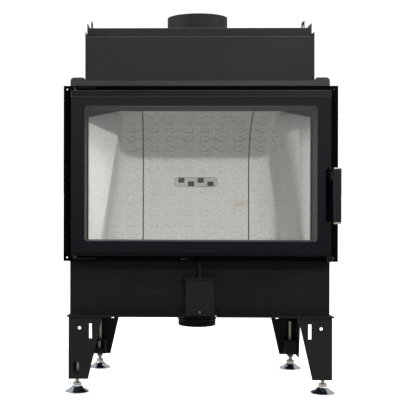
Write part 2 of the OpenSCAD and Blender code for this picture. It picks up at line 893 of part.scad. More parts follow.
module air_vane() color("#55524e") at_front() translate([0, rod_y, vane_z0])
    difference() {
        union() {
            cylinder(h = vane_z1 - vane_z0, d = rod_d + 2 * vane_t);
            rotate([0, 0, 90 - lever_rest]) translate([0, -vane_t / 2, 0])
                cube([vane_len, vane_t, vane_z1 - vane_z0]);
        }
        translate([0, 0, -cut]) cylinder(h = vane_z1 - vane_z0 + 2 * cut, d = rod_d);
    }

// Hinges, latch keeper and door rest on the surround

module hinge_bracket_plate(z0) {
    difference() {
        union() {
            block(hinge_x, hinge_x + bracket_l, -bracket_depth, 0, z0, z0 + bracket_h);
            post(hinge_x, hinge_y, z0, z0 + bracket_h, 2 * (bracket_depth + hinge_y));
            block(hinge_x - bracket_depth - hinge_y, hinge_x, hinge_y, 0, z0, z0 + bracket_h);
        }
        post(hinge_x, hinge_y, z0 - cut, z0 + bracket_h + cut, hinge_pin_d);
    }
}

module hinge_brackets() color("#1d1c1c") at_front() {
    hinge_bracket_plate(door_z0 - bracket_gap - bracket_h);
    hinge_bracket_plate(door_z1 + bracket_gap);
}

module hinge_pins() color("#8a8884") at_front() {
    low = door_z0 - bracket_gap;
    high = door_z1 + bracket_gap;
    post(hinge_x, hinge_y, low - bracket_h, door_z0 + bottom_rail_h - 2 * rail_t - cut, hinge_pin_d);
    post(hinge_x, hinge_y, low, door_z0 - play, shoulder_d);
    post(hinge_x, hinge_y, door_z1 - top_rail_h + 2 * rail_t + cut, high + bracket_h, hinge_pin_d);
}

module latch_keeper() color("#8a8884") at_front()
    block(frame_open_w / 2 - keeper_w, frame_open_w / 2, keeper_y, keeper_y + keeper_len,
        nose_z0 - play - keeper_h, nose_z0 - play);

module door_rest() color("#1d1c1c") at_front() {
    z1 = door_z0 - play;
    block(rest_x, rest_x + rest_w, -bracket_depth, 0, frame_z + sheet, z1);
}

// Legs and feet

module leg_place(c) {
    translate([c[0], c[1], 0]) rotate([0, 0, c[2]]) children();
}

// One flange of a leg, standing in the plane y = 0 and reaching towards +x
module leg_flange(windowed) {
    difference() {
        translate([0, leg_t, foot_gap]) rotate([90, 0, 0]) linear_extrude(leg_t)
            polygon([[0, 0], [leg_bottom_w, 0], [leg_top_w, leg_h], [0, leg_h]]);
        translate([leg_hole_x, -cut, base_bottom_z - leg_hole_drop]) rotate([-90, 0, 0])
            cylinder(h = leg_t + 2 * cut, d = leg_hole_d);
        translate([leg_slot_x - leg_slot_w / 2, -cut, base_bottom_z - leg_slot_drop - leg_slot_h])
            cube([leg_slot_w, leg_t + 2 * cut, leg_slot_h]);
        translate([relief_d, -cut, base_bottom_z - relief_d]) rotate([-90, 0, 0])
            cylinder(h = leg_t + 2 * cut, d = relief_d);
        if (windowed)
            translate([foot_window_x, -cut, foot_gap + foot_window_z])
                cube([foot_window_w, leg_t + 2 * cut, foot_window_h]);
    }
}

module leg(c) {
    leg_place(c) difference() {
        union() {
            leg_flange(true);
            mirror([1, -1, 0]) leg_flange(false);
            block(leg_t / 2, leg_t + leg_tab, leg_t / 2, leg_t + leg_tab,
                base_bottom_z - leg_t, base_bottom_z);
        }
        post(leg_bolt_x, leg_bolt_x, base_bottom_z - leg_t - cut, base_bottom_z + cut,
            leg_bolt_d + 2 * screw_play);
    }
}

module leg_front_left() color("#242323") at_front() leg(leg_corners[0]);
module leg_front_right() color("#242323") at_front() leg(leg_corners[1]);
module leg_rear_right() color("#1a1a1a") at_front() leg(leg_corners[2]);
module leg_rear_left() color("#1a1a1a") at_front() leg(leg_corners[3]);

module leg_bolts() color("#8a8884") at_front() for (c = leg_corners) leg_place(c) {
    post(leg_bolt_x, leg_bolt_x, base_bottom_z - leg_t - leg_bolt_head_h,
        base_bottom_z - leg_t, leg_bolt_head_d, 6);
    post(leg_bolt_x, leg_bolt_x, base_bottom_z - leg_t, base_z + leg_bolt_end, leg_bolt_d);
}

module foot_carriers() color("#33322f") at_front() for (c = leg_corners) leg_place(c) {
    z0 = foot_gap + carrier_low;
    z1 = z0 + carrier_h;
    far = leg_t + carrier;
    difference() {
        union() {
            block(leg_t, far, leg_t, far, z0, z0 + carrier_block_h);
            block(leg_t, far, leg_t, far, z1 - leg_t, z1);
            block(leg_t, far, carrier, far, z0, z1);
        }
        post(foot_inset, foot_inset, z0 - cut, z1 + cut, stud_d + 4 * screw_play);
    }
}

module foot_nuts() color("#9a9894") at_front() for (c = leg_corners) leg_place(c) {
    z1 = foot_gap + carrier_low;
    difference() {
        post(foot_inset, foot_inset, z1 - nut_h, z1, nut_af / cos(30), 6);
        post(foot_inset, foot_inset, z1 - nut_h - cut, z1 + cut, stud_d + 2 * running);
    }
}

// Disc, cone, spanner hexagon and stud of one foot
module foot(c) {
    rim = foot_d / 2 - disc_h / 4;
    neck = dome_top_d / 2;
    leg_place(c) translate([foot_inset, foot_inset, 0]) {
        rotate_extrude() polygon([
            [0, 0], [rim, 0], [foot_d / 2, disc_h / 4], [foot_d / 2, disc_h - disc_h / 4], [rim, disc_h],
            [neck + (rim - neck) * flare_out_share, disc_h + dome_h * flare_up_share],
            [neck, disc_h + dome_h], [0, disc_h + dome_h]
        ]);
        translate([0, 0, disc_h + dome_h]) cylinder(h = hex_h, d = hex_d, $fn = 6);
        translate([0, 0, disc_h + dome_h + hex_h])
            cylinder(h = stud_top - disc_h - dome_h - hex_h, d = stud_d);
    }
}

module foot_front_left() color("#c9cdd0") at_front() foot(leg_corners[0]);
module foot_front_right() color("#c9cdd0") at_front() foot(leg_corners[1]);
module foot_rear_right() color("#c9cdd0") at_front() foot(leg_corners[2]);
module foot_rear_left() color("#c9cdd0") at_front() foot(leg_corners[3]);

// Small screws of the apron and the air box
module small_screw(x, y, z, depth) {
    translate([x, y, z]) rotate([90, 0, 0]) cylinder(h = screw_head_h, d = screw_head_d);
    translate([x, y, z]) rotate([-90, 0, 0]) cylinder(h = depth, d = screw_d);
}

module body_screws() color("#b8b6b0") at_front() {
    for (p = apron_screws) small_screw(p[0], frame_depth, p[1], sheet);
    small_screw(0, air_box_y, box_screw_z, air_box_wall);
}

// Door

module door_frame() color("#1a1b1c") at_front() {
    half = door_frame_half;
    inner = window_w / 2 + play;
    y0 = glass_back_y + seal_t;
    difference() {
        block(-half, half, y0, door_frame_y1, glass_z0, glass_z1);
        block(-inner, inner, y0 - cut, door_frame_y1 + cut, window_z0 - play, window_z1 + play);
        difference() {
            block(-half + sheet, half - sheet, y0 - cut, door_frame_y1 - sheet,
                glass_z0 + sheet, glass_z1 - sheet);
            block(-inner - sheet, inner + sheet, y0 - 2 * cut, door_frame_y1,
                window_z0 - play - sheet, window_z1 + play + sheet);
        }
    }
}

// Folded rail between two heights, open at its back, with the hinge pin's hole in one wall
module rail(z0, z1, hole_z) {
    difference() {
        block(-door_w / 2, door_w / 2, -door_proud, rail_depth - door_proud, z0, z1);
        block(-door_w / 2 + rail_t, door_w / 2 - rail_t, rail_t - door_proud,
            rail_depth - door_proud + cut, z0 + rail_t, z1 - rail_t);
        post(hinge_x, hinge_y, hole_z - rail_t / 2 - cut, hole_z + rail_t / 2 + cut, pin_hole_d);
    }
}

module door_top_rail() color("#2c2c2d") at_front()
    rail(glass_z1, door_z1, door_z1 - rail_t / 2);

module door_bottom_rail() color("#262627") at_front()
    rail(door_z0, glass_z0, door_z0 + rail_t / 2);

module hinge_bushes() color("#8a8884") at_front() {
    d = hinge_pin_d + 2 * bush_wall;
    for (z = [[door_z0 + rail_t, glass_z0 - rail_t], [glass_z1 + rail_t, door_z1 - rail_t]])
        difference() {
            post(hinge_x, hinge_y, z[0], z[1], d);
            post(hinge_x, hinge_y, z[0] - cut, z[1] + cut, hinge_pin_d + 2 * running);
        }
}

module door_glass() color("#24262a", 0.45) at_front()
    block(-door_w / 2, door_w / 2, -door_proud, glass_back_y, glass_z0, glass_z1);

module glass_seal() color("#2b2b2b") at_front() {
    inner = window_w / 2 + gasket_inset;
    difference() {
        block(-inner - seal_w, inner + seal_w, glass_back_y, glass_back_y + seal_t,
            window_z0 - gasket_inset - seal_w, window_z1 + gasket_inset + seal_w);
        block(-inner, inner, glass_back_y - cut, glass_back_y + seal_t + cut,
            window_z0 - gasket_inset, window_z1 + gasket_inset);
    }
}

module door_gasket() color("#1f1f1f") at_front() {
    outer = door_frame_half - gasket_inset;
    difference() {
        block(-outer, outer, door_frame_y1, mouth_y - play,
            mouth_z0 - gasket_w / 2 - gasket_high, mouth_z1 + gasket_w / 2 + gasket_high);
        block(-outer + gasket_w, outer - gasket_w, door_frame_y1 - cut, mouth_y + cut,
            mouth_z0 + gasket_w / 2 - gasket_high, mouth_z1 - gasket_w / 2 + gasket_high);
    }
}

module handle_bracket() color("#1d1c1c") at_front() {
    x0 = door_frame_half;
    low = link_z0 - play;
    high = link_top + play;
    difference() {
        union() {
            block(x0, x0 + sheet, glass_back_y + sheet, handle_y + 2 * lug_plate,
                low - lug_plate, high + lug_plate);
            for (z = [low - lug_plate, high])
                block(x0, handle_x + bracket_reach, handle_y - bracket_reach, handle_y + bracket_reach,
                    z, z + lug_plate);
        }
        post(handle_x, handle_y, low - lug_plate - cut, high + lug_plate + cut, handle_pin_d);
    }
}

module handle_pin() color("#8a8884") at_front()
    post(handle_x, handle_y, link_z0 - play - lug_plate, link_top + play + lug_plate, handle_pin_d);

// Handle

module handle_link() color("#cfd0d0") at_front() {
    outer = door_w / 2 + link_gap + link_t;
    difference() {
        union() {
            post(handle_x, handle_y, link_z0, link_top, handle_pin_d + 2 * knuckle_wall);
            block(handle_x, outer, handle_y - arm_h / 2, handle_y + arm_h / 2, link_z0, link_top);
            block(outer - link_t, outer, -grip_gap, handle_y, link_z0, link_top);
            block(handle_x - arm_h / 3, handle_x + arm_h / 3, handle_y + arm_h / 3,
                handle_y + nose_y + nose_l, nose_z0, nose_z0 + nose_h);
            block(handle_x - arm_h / 3, handle_x + nose_reach, handle_y + nose_y,
                handle_y + nose_y + nose_l, nose_z0, nose_z0 + nose_h);
        }
        post(handle_x, handle_y, link_z0 - cut, link_top + cut, handle_pin_d + 2 * running);
    }
}

// A length of the grip's rounded section
module grip_bar(z0, z1) {
    translate([grip_x + grip_w / 2, -grip_gap - grip_depth / 2, z0])
        linear_extrude(z1 - z0) rounded_rect(grip_w, grip_depth, grip_edge_r);
}

module handle_grip() color("#2a2a2b") at_front()
    grip_bar(handle_z - grip_len / 2 + cap_h, handle_z + grip_len / 2 - cap_h);

module handle_caps() color("#d8d8d6") at_front() {
    grip_bar(handle_z - grip_len / 2, handle_z - grip_len / 2 + cap_h);
    grip_bar(handle_z + grip_len / 2 - cap_h, handle_z + grip_len / 2);
}

front_frame();
front_flange();
casing_jacket();
casing_top_plate();
lower_front_plate();
plenum_shelf();
base_plate();
firebox_front_plate();
firebox_jacket();
firebox_floor_plate();
firebox_top_plate();
hood_jacket();
smoke_box();
smoke_box_top_plate();
smoke_deflector();
flue_collar();
lifting_lugs();
lining_back();
lining_left();
lining_right();
lining_floor();
nozzle_plate();
secondary_air_duct();
air_box();
air_box_lid();
rod_bush();
air_inlet_collar();
hinge_brackets();
hinge_pins();
latch_keeper();
door_rest();
leg_front_left();
leg_front_right();
leg_rear_left();
leg_rear_right();
leg_bolts();
foot_carriers();
foot_nuts();
body_screws();
door_frame();
door_top_rail();
door_bottom_rail();
door_glass();
glass_seal();
door_gasket();
hinge_bushes();
handle_bracket();
handle_pin();
handle_link();
handle_grip();
handle_caps();
air_lever();
air_rod();
air_vane();
foot_front_left();
foot_front_right();
foot_rear_left();
foot_rear_right();
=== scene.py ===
import json
import math

import bmesh
import bpy
from bpy.props import FloatProperty, FloatVectorProperty, PointerProperty
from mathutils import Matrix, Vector
from mathutils.bvhtree import BVHTree

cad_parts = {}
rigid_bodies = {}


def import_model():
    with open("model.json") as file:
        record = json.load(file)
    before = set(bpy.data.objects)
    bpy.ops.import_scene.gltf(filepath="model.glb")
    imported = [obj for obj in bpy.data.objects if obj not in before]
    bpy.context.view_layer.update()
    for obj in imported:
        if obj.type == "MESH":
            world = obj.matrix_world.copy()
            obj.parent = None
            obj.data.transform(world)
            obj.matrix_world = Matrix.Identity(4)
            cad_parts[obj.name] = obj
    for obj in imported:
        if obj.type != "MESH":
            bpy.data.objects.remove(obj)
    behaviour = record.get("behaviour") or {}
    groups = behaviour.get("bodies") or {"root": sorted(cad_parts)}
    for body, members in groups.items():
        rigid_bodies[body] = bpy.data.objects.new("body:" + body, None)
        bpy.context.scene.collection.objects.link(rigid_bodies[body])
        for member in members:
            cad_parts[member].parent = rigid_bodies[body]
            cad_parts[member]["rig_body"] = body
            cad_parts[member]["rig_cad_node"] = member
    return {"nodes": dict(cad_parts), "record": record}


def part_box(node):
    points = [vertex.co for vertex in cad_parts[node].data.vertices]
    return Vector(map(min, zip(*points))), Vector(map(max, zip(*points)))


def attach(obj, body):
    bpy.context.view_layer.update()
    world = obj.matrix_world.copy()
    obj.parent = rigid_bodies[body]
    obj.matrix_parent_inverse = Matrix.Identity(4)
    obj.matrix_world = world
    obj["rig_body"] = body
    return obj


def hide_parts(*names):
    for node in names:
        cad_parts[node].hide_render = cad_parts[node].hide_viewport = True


bl_info = {
    "name": "Fireplace Insert Dresser",
    "version": (1, 0, 0),
    "blender": (4, 5, 0),
    "location": "3D View > Sidebar > Fireplace",
    "description": "Paints, glazes and lines a fireplace insert and sets it on a pale studio floor",
    "category": "Object",
}

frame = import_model()
PARTS = frame["nodes"]
BODY_OF = {n: b for b, ns in frame["record"]["behaviour"]["bodies"].items() for n in ns}
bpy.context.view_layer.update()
MM = 0.001

# Places that the looks need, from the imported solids
SURROUND_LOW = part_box("front_frame")[0]
FRONT_Y, SURROUND_Z = SURROUND_LOW.y, SURROUND_LOW.z
GLASS_LOW, GLASS_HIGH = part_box("door_glass")

# The camera: its focal length over the photograph's width, its place, its turn and the frame's shift
FOCAL = 900 / 400
CAMERA_ASIDE, CAMERA_AWAY, CAMERA_HEIGHT = -124.6 * MM, 2.78, 0.663
CAMERA_YAW, CAMERA_ROLL = math.radians(1.2), math.radians(0.1)
FRAME_ASIDE, FRAME_UP = 0.1, -0.05
# Strength of the room's light under and over the eye's level, and the half width of the change between
ROOM_LOW, ROOM_HIGH, ROOM_CHANGE = 0.36, 0.8, 0.12
# The floor's size in metres, and how far it reaches before the origin
FLOOR_SIZE, FLOOR_BEFORE = 40, 1

# The vault: its axis behind the surround and over the floor, its radius, and how far the lining follows it
VAULT_DEPTH, VAULT_Z, VAULT_RADIUS = 130 * MM, SURROUND_Z + 262 * MM, 220 * MM
VAULT_TURN = math.radians(80.8)
LINING_LOW = SURROUND_Z + 3 * MM
# Height of a course's lower edge, from which the courses of marks count, and where the marks turn sharp and
# their painted shade dark
COURSE_LOW, CRISP_SHADE_LOW = 498.6 * MM, 740 * MM
# The marks beside the middle piece start this much nearer the middle
MARKS_SHIFT = 18 * MM

# The side pieces: half width of the mouth, depth at which the cheeks start, and the joint's edge
MOUTH_HALF, CHEEK_DEPTH, JOINT_X = 352 * MM, 88 * MM, 184.7 * MM
# Height at which their half width is taken, and how much they close in towards the back
SIDE_LOW, SIDE_CLOSING = 479 * MM, 0.0875
# For each its side, half width, lean, corner radius, and how many times its ridge is rubbed down
SIDE_WALLS = {
    "lining_left": {"side": -1, "half": 315.2 * MM, "lean": 0.157, "corner": 78 * MM, "rubs": 0},
    "lining_right": {"side": 1, "half": 334 * MM, "lean": 0.175, "corner": 120 * MM, "rubs": 14},
}
# Columns of their grid on the cheek, the side, the corner and the back, and its rows below and in the vault
CHEEK_COLUMNS, SIDE_COLUMNS, CORNER_COLUMNS, BACK_COLUMNS = 6, 4, 12, 6
UPRIGHT_ROWS, VAULT_ROWS = 8, 16


def linear(hex_colour):
    """sRGB hex such as 1a2b3c to the linear colour that the shaders read."""
    parts = [int(hex_colour.lstrip("#")[i:i + 2], 16) / 255 for i in (0, 2, 4)]
    return tuple(c / 12.92 if c <= 0.04045 else ((c + 0.055) / 1.055) ** 2.4 for c in parts) + (1.0,)


def shaded(colour, share=1.0):
    """A colour made darker or lighter by a share, with its alpha."""
    return tuple(min(1.0, c * share) for c in tuple(colour)[:3]) + (1.0,)


def add_node(tree, kind, inputs=None, **settings):
    """Adds a node, sets its properties and fills its sockets with values or links."""
    new = tree.nodes.new(kind)
    for key, value in settings.items():
        setattr(new, key, value)
    for key, value in (inputs or {}).items():
        if isinstance(value, bpy.types.NodeSocket):
            tree.links.new(value, new.inputs[key])
        else:
            new.inputs[key].default_value = value
    return new


def new_material(name):
    """An empty material with its output node, ready for a shader."""
    material = bpy.data.materials.new(name)
    material.use_nodes = True
    tree = material.node_tree
    tree.nodes.clear()
    return material, tree, tree.nodes.new("ShaderNodeOutputMaterial")


def only(*objects):
    """Selects these objects and nothing else, the first one active."""
    if bpy.context.object and bpy.context.object.mode != "OBJECT":
        bpy.ops.object.mode_set(mode="OBJECT")
    bpy.ops.object.select_all(action="DESELECT")
    for obj in objects:
        obj.select_set(True)
    bpy.context.view_layer.objects.active = objects[0]


def dress(obj, *materials):
    """Gives an object these materials in place of the ones it has."""
    obj.data.materials.clear()
    for material in materials:
        obj.data.materials.append(material)


def settle(obj, name, like):
    """Names a finished piece, applies its place and lets it ride as the part that it replaces."""
    only(obj)
    bpy.ops.object.transform_apply(location=True, rotation=True, scale=True)
    obj.name = name
    obj.data.name = name
    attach(obj, BODY_OF[like])
    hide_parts(like)


def apply_modifier(obj, kind, **settings):
    """Adds one modifier with its settings and applies it."""
    only(obj)
    modifier = obj.modifiers.new(kind.title(), kind)
    for key, value in settings.items():
        setattr(modifier, key, value)
    bpy.ops.object.modifier_apply(modifier=modifier.name)


def broken_edges(node, radius, *materials, angle=35):
    """Stands a copy of a solid with softly broken edges in the solid's place. Where there are two
    materials, the edges get the last one."""
    obj = PARTS[node].copy()
    obj.data = PARTS[node].data.copy()
    obj.parent = None
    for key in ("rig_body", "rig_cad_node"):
        if key in obj:
            del obj[key]
    bpy.context.scene.collection.objects.link(obj)
    only(obj)
    bpy.ops.object.mode_set(mode="EDIT")
    bpy.ops.mesh.select_all(action="SELECT")
    bpy.ops.mesh.remove_doubles(threshold=0.01 * MM)
    bpy.ops.mesh.dissolve_limited(angle_limit=math.radians(0.5), delimit={"NORMAL"})
    bpy.ops.object.mode_set(mode="OBJECT")
    dress(obj, *materials)
    apply_modifier(obj, "BEVEL", width=radius, segments=2, limit_method="ANGLE",
                   angle_limit=math.radians(angle), use_clamp_overlap=True,
                   material=len(materials) - 1 if len(materials) > 1 else -1)
    bpy.ops.object.shade_smooth_by_angle(angle=math.radians(30))
    apply_modifier(obj, "WEIGHTED_NORMAL", keep_sharp=True, weight=100)
    settle(obj, node + "_painted", node)
    return obj


# Materials

def stove_paint(name, colour, roughness, gloss=0.15, dusty=0.5):
    """Heat-resistant silicone paint sprayed on sheet steel: dry and matt, with a fine orange peel,
    a slow drift of tone from the spray passes and a trace of dust."""
    material, tree, output = new_material(name)
    place = add_node(tree, "ShaderNodeTexCoord").outputs["Object"]
    # Spray passes show as tone patches about 180 mm wide
    passes = add_node(tree, "ShaderNodeTexNoise", {"Vector": place, "Scale": 1 / (180 * MM), "Detail": 3.0})
    # Orange peel of about 1 mm, drawn at 3 mm so that it shows
    peel = add_node(tree, "ShaderNodeTexNoise", {"Vector": place, "Scale": 1 / (3 * MM), "Detail": 2.0})
    dust = add_node(tree, "ShaderNodeTexNoise", {"Vector": place, "Scale": 1 / (9 * MM), "Detail": 6.0})
    tone = add_node(tree, "ShaderNodeValToRGB", {"Fac": passes.outputs["Fac"]})
    dark, light = tone.color_ramp.elements
    dark.position, dark.color = 0.35, shaded(colour, 0.9)
    light.position, light.color = 0.7, tuple(min(1.0, c * 1.14 + 0.0002) for c in colour[:3]) + (1.0,)
    speck = add_node(tree, "ShaderNodeMapRange", {
        "Value": dust.outputs["Fac"], "From Min": 0.6, "From Max": 0.8, "To Max": 0.03 * dusty})
    dusted = add_node(tree, "ShaderNodeMix", {
        "Factor": speck.outputs["Result"], 6: tone.outputs["Color"], 7: linear("8c8882")}, data_type="RGBA")
    rough = add_node(tree, "ShaderNodeMapRange", {
        "Value": dust.outputs["Fac"], "From Min": 0.3, "From Max": 0.7,
        "To Min": roughness - 0.05, "To Max": roughness + 0.07})
    bump = add_node(tree, "ShaderNodeBump", {
        "Height": peel.outputs["Fac"], "Strength": 0.15, "Distance": 0.25 * MM})
    shader = add_node(tree, "ShaderNodeBsdfPrincipled", {
        "Base Color": dusted.outputs[2], "Roughness": rough.outputs["Result"], "Specular IOR Level": gloss,
        "Normal": bump.outputs["Normal"]})
    tree.links.new(shader.outputs["BSDF"], output.inputs["Surface"])
    return material


def bare_metal(name, colour, roughness, grain_mm, streak=(1, 1, 12)):
    """Uncoated or thinly plated steel: metallic, with rolling or polishing streaks along one way."""
    material, tree, output = new_material(name)
    place = add_node(tree, "ShaderNodeTexCoord").outputs["Object"]
    turned = add_node(tree, "ShaderNodeMapping", {"Vector": place, "Scale": [1 / s for s in streak]})
    grain = add_node(tree, "ShaderNodeTexNoise", {
        "Vector": turned.outputs["Vector"], "Scale": 1 / (grain_mm * MM), "Detail": 3.0})
    cloud = add_node(tree, "ShaderNodeTexNoise", {"Vector": place, "Scale": 1 / (25 * MM), "Detail": 2.0})
    tone = add_node(tree, "ShaderNodeMix", {
        "Factor": cloud.outputs["Fac"], 6: shaded(colour, 0.82), 7: shaded(colour, 1.12)},
        data_type="RGBA")
    rough = add_node(tree, "ShaderNodeMapRange", {
        "Value": grain.outputs["Fac"], "From Min": 0.3, "From Max": 0.7,
        "To Min": max(0.03, roughness - 0.08), "To Max": roughness + 0.08})
    bump = add_node(tree, "ShaderNodeBump", {
        "Height": grain.outputs["Fac"], "Strength": 0.12, "Distance": 0.05 * MM})
    shader = add_node(tree, "ShaderNodeBsdfPrincipled", {
        "Base Color": tone.outputs[2], "Metallic": 1.0, "Roughness": rough.outputs["Result"],
        "Normal": bump.outputs["Normal"]})
    tree.links.new(shader.outputs["BSDF"], output.inputs["Surface"])
    return material


def threaded_zinc(name, pitch_mm, thread_low_mm):
    """Bright zinc on a turned foot: mirror-like with a blue cast, and a rolled thread above the neck."""
    material, tree, output = new_material(name)
    place = add_node(tree, "ShaderNodeTexCoord").outputs["Object"]
    axis = add_node(tree, "ShaderNodeSeparateXYZ", {"Vector": place})
    turns = add_node(tree, "ShaderNodeMath", {0: axis.outputs["Z"], 1: 2 * math.pi / (pitch_mm * MM)},
                     operation="MULTIPLY")
    wave = add_node(tree, "ShaderNodeMath", {0: turns.outputs[0]}, operation="SINE")
    above = add_node(tree, "ShaderNodeMath", {0: axis.outputs["Z"], 1: thread_low_mm * MM},
                     operation="GREATER_THAN")
    thread = add_node(tree, "ShaderNodeMath", {0: wave.outputs[0], 1: above.outputs[0]},
                      operation="MULTIPLY")
    bump = add_node(tree, "ShaderNodeBump", {
        "Height": thread.outputs[0], "Strength": 0.45, "Distance": 0.5 * MM})
    cloud = add_node(tree, "ShaderNodeTexNoise", {"Vector": place, "Scale": 1 / (9 * MM), "Detail": 3.0})
    rough = add_node(tree, "ShaderNodeMapRange", {
        "Value": cloud.outputs["Fac"], "To Min": 0.1, "To Max": 0.26})
    tone = add_node(tree, "ShaderNodeMix", {
        "Factor": cloud.outputs["Fac"], 6: linear("8f959d"), 7: linear("c3c8d0")}, data_type="RGBA")
    # The neck and the thread over the plate are duller and warmer
    neck = add_node(tree, "ShaderNodeMapRange", {
        "Value": axis.outputs["Z"], "From Min": 20 * MM, "From Max": 23 * MM})
    plated = add_node(tree, "ShaderNodeMix", {
        "Factor": neck.outputs["Result"], 6: tone.outputs[2], 7: linear("827e73")}, data_type="RGBA")
    duller = add_node(
        tree, "ShaderNodeMath", {0: neck.outputs["Result"], 1: 0.25, 2: rough.outputs["Result"]},
        operation="MULTIPLY_ADD")
    shader = add_node(tree, "ShaderNodeBsdfPrincipled", {
        "Base Color": plated.outputs[2], "Metallic": 1.0, "Roughness": duller.outputs[0],
        "Normal": bump.outputs["Normal"]})
    tree.links.new(shader.outputs["BSDF"], output.inputs["Surface"])
    return material


def glass_rope(name, colour, strand_mm):
    """Knitted glass-fibre rope: soft, fuzzy and dark, its strands crossing on the slant."""
    material, tree, output = new_material(name)
    place = add_node(tree, "ShaderNodeTexCoord").outputs["Object"]
    # A wave texture of scale 1 repeats every 0.2 pi along each axis
    strands = add_node(tree, "ShaderNodeTexWave", {
        "Vector": place, "Scale": 0.2 * math.pi / (strand_mm * MM), "Distortion": 1.5},
        bands_direction="DIAGONAL")
    fuzz = add_node(tree, "ShaderNodeTexNoise", {"Vector": place, "Scale": 1 / (1.5 * MM), "Detail": 4.0})
    both = add_node(tree, "ShaderNodeMath", {0: strands.outputs["Fac"], 1: fuzz.outputs["Fac"]},
                    operation="ADD")
    tone = add_node(tree, "ShaderNodeMix", {
        "Factor": strands.outputs["Fac"], 6: shaded(colour, 0.6), 7: shaded(colour)}, data_type="RGBA")
    bump = add_node(tree, "ShaderNodeBump", {
        "Height": both.outputs[0], "Strength": 0.6, "Distance": 0.8 * MM})
    shader = add_node(tree, "ShaderNodeBsdfPrincipled", {
        "Base Color": tone.outputs[2], "Roughness": 0.9, "Sheen Weight": 0.25,
        "Normal": bump.outputs["Normal"]})
    tree.links.new(shader.outputs["BSDF"], output.inputs["Surface"])
    return material


def moulded_phenolic(name, colour):
    """Black phenolic moulding of the grip: satin, with a faint moulding grain."""
    material, tree, output = new_material(name)
    place = add_node(tree, "ShaderNodeTexCoord").outputs["Object"]
    grain = add_node(tree, "ShaderNodeTexNoise", {"Vector": place, "Scale": 1 / (1.2 * MM), "Detail": 3.0})
    cloud = add_node(tree, "ShaderNodeTexNoise", {"Vector": place, "Scale": 1 / (30 * MM), "Detail": 2.0})
    tone = add_node(tree, "ShaderNodeMix", {
        "Factor": cloud.outputs["Fac"], 6: shaded(colour, 0.85), 7: shaded(colour, 1.15)},
        data_type="RGBA")
    rough = add_node(tree, "ShaderNodeMapRange", {
        "Value": grain.outputs["Fac"], "To Min": 0.3, "To Max": 0.5})
    bump = add_node(tree, "ShaderNodeBump", {
        "Height": grain.outputs["Fac"], "Strength": 0.2, "Distance": 0.1 * MM})
    shader = add_node(tree, "ShaderNodeBsdfPrincipled", {
        "Base Color": tone.outputs[2], "Roughness": rough.outputs["Result"], "Specular IOR Level": 0.2,
        "Normal": bump.outputs["Normal"]})
    tree.links.new(shader.outputs["BSDF"], output.inputs["Surface"])
    return material


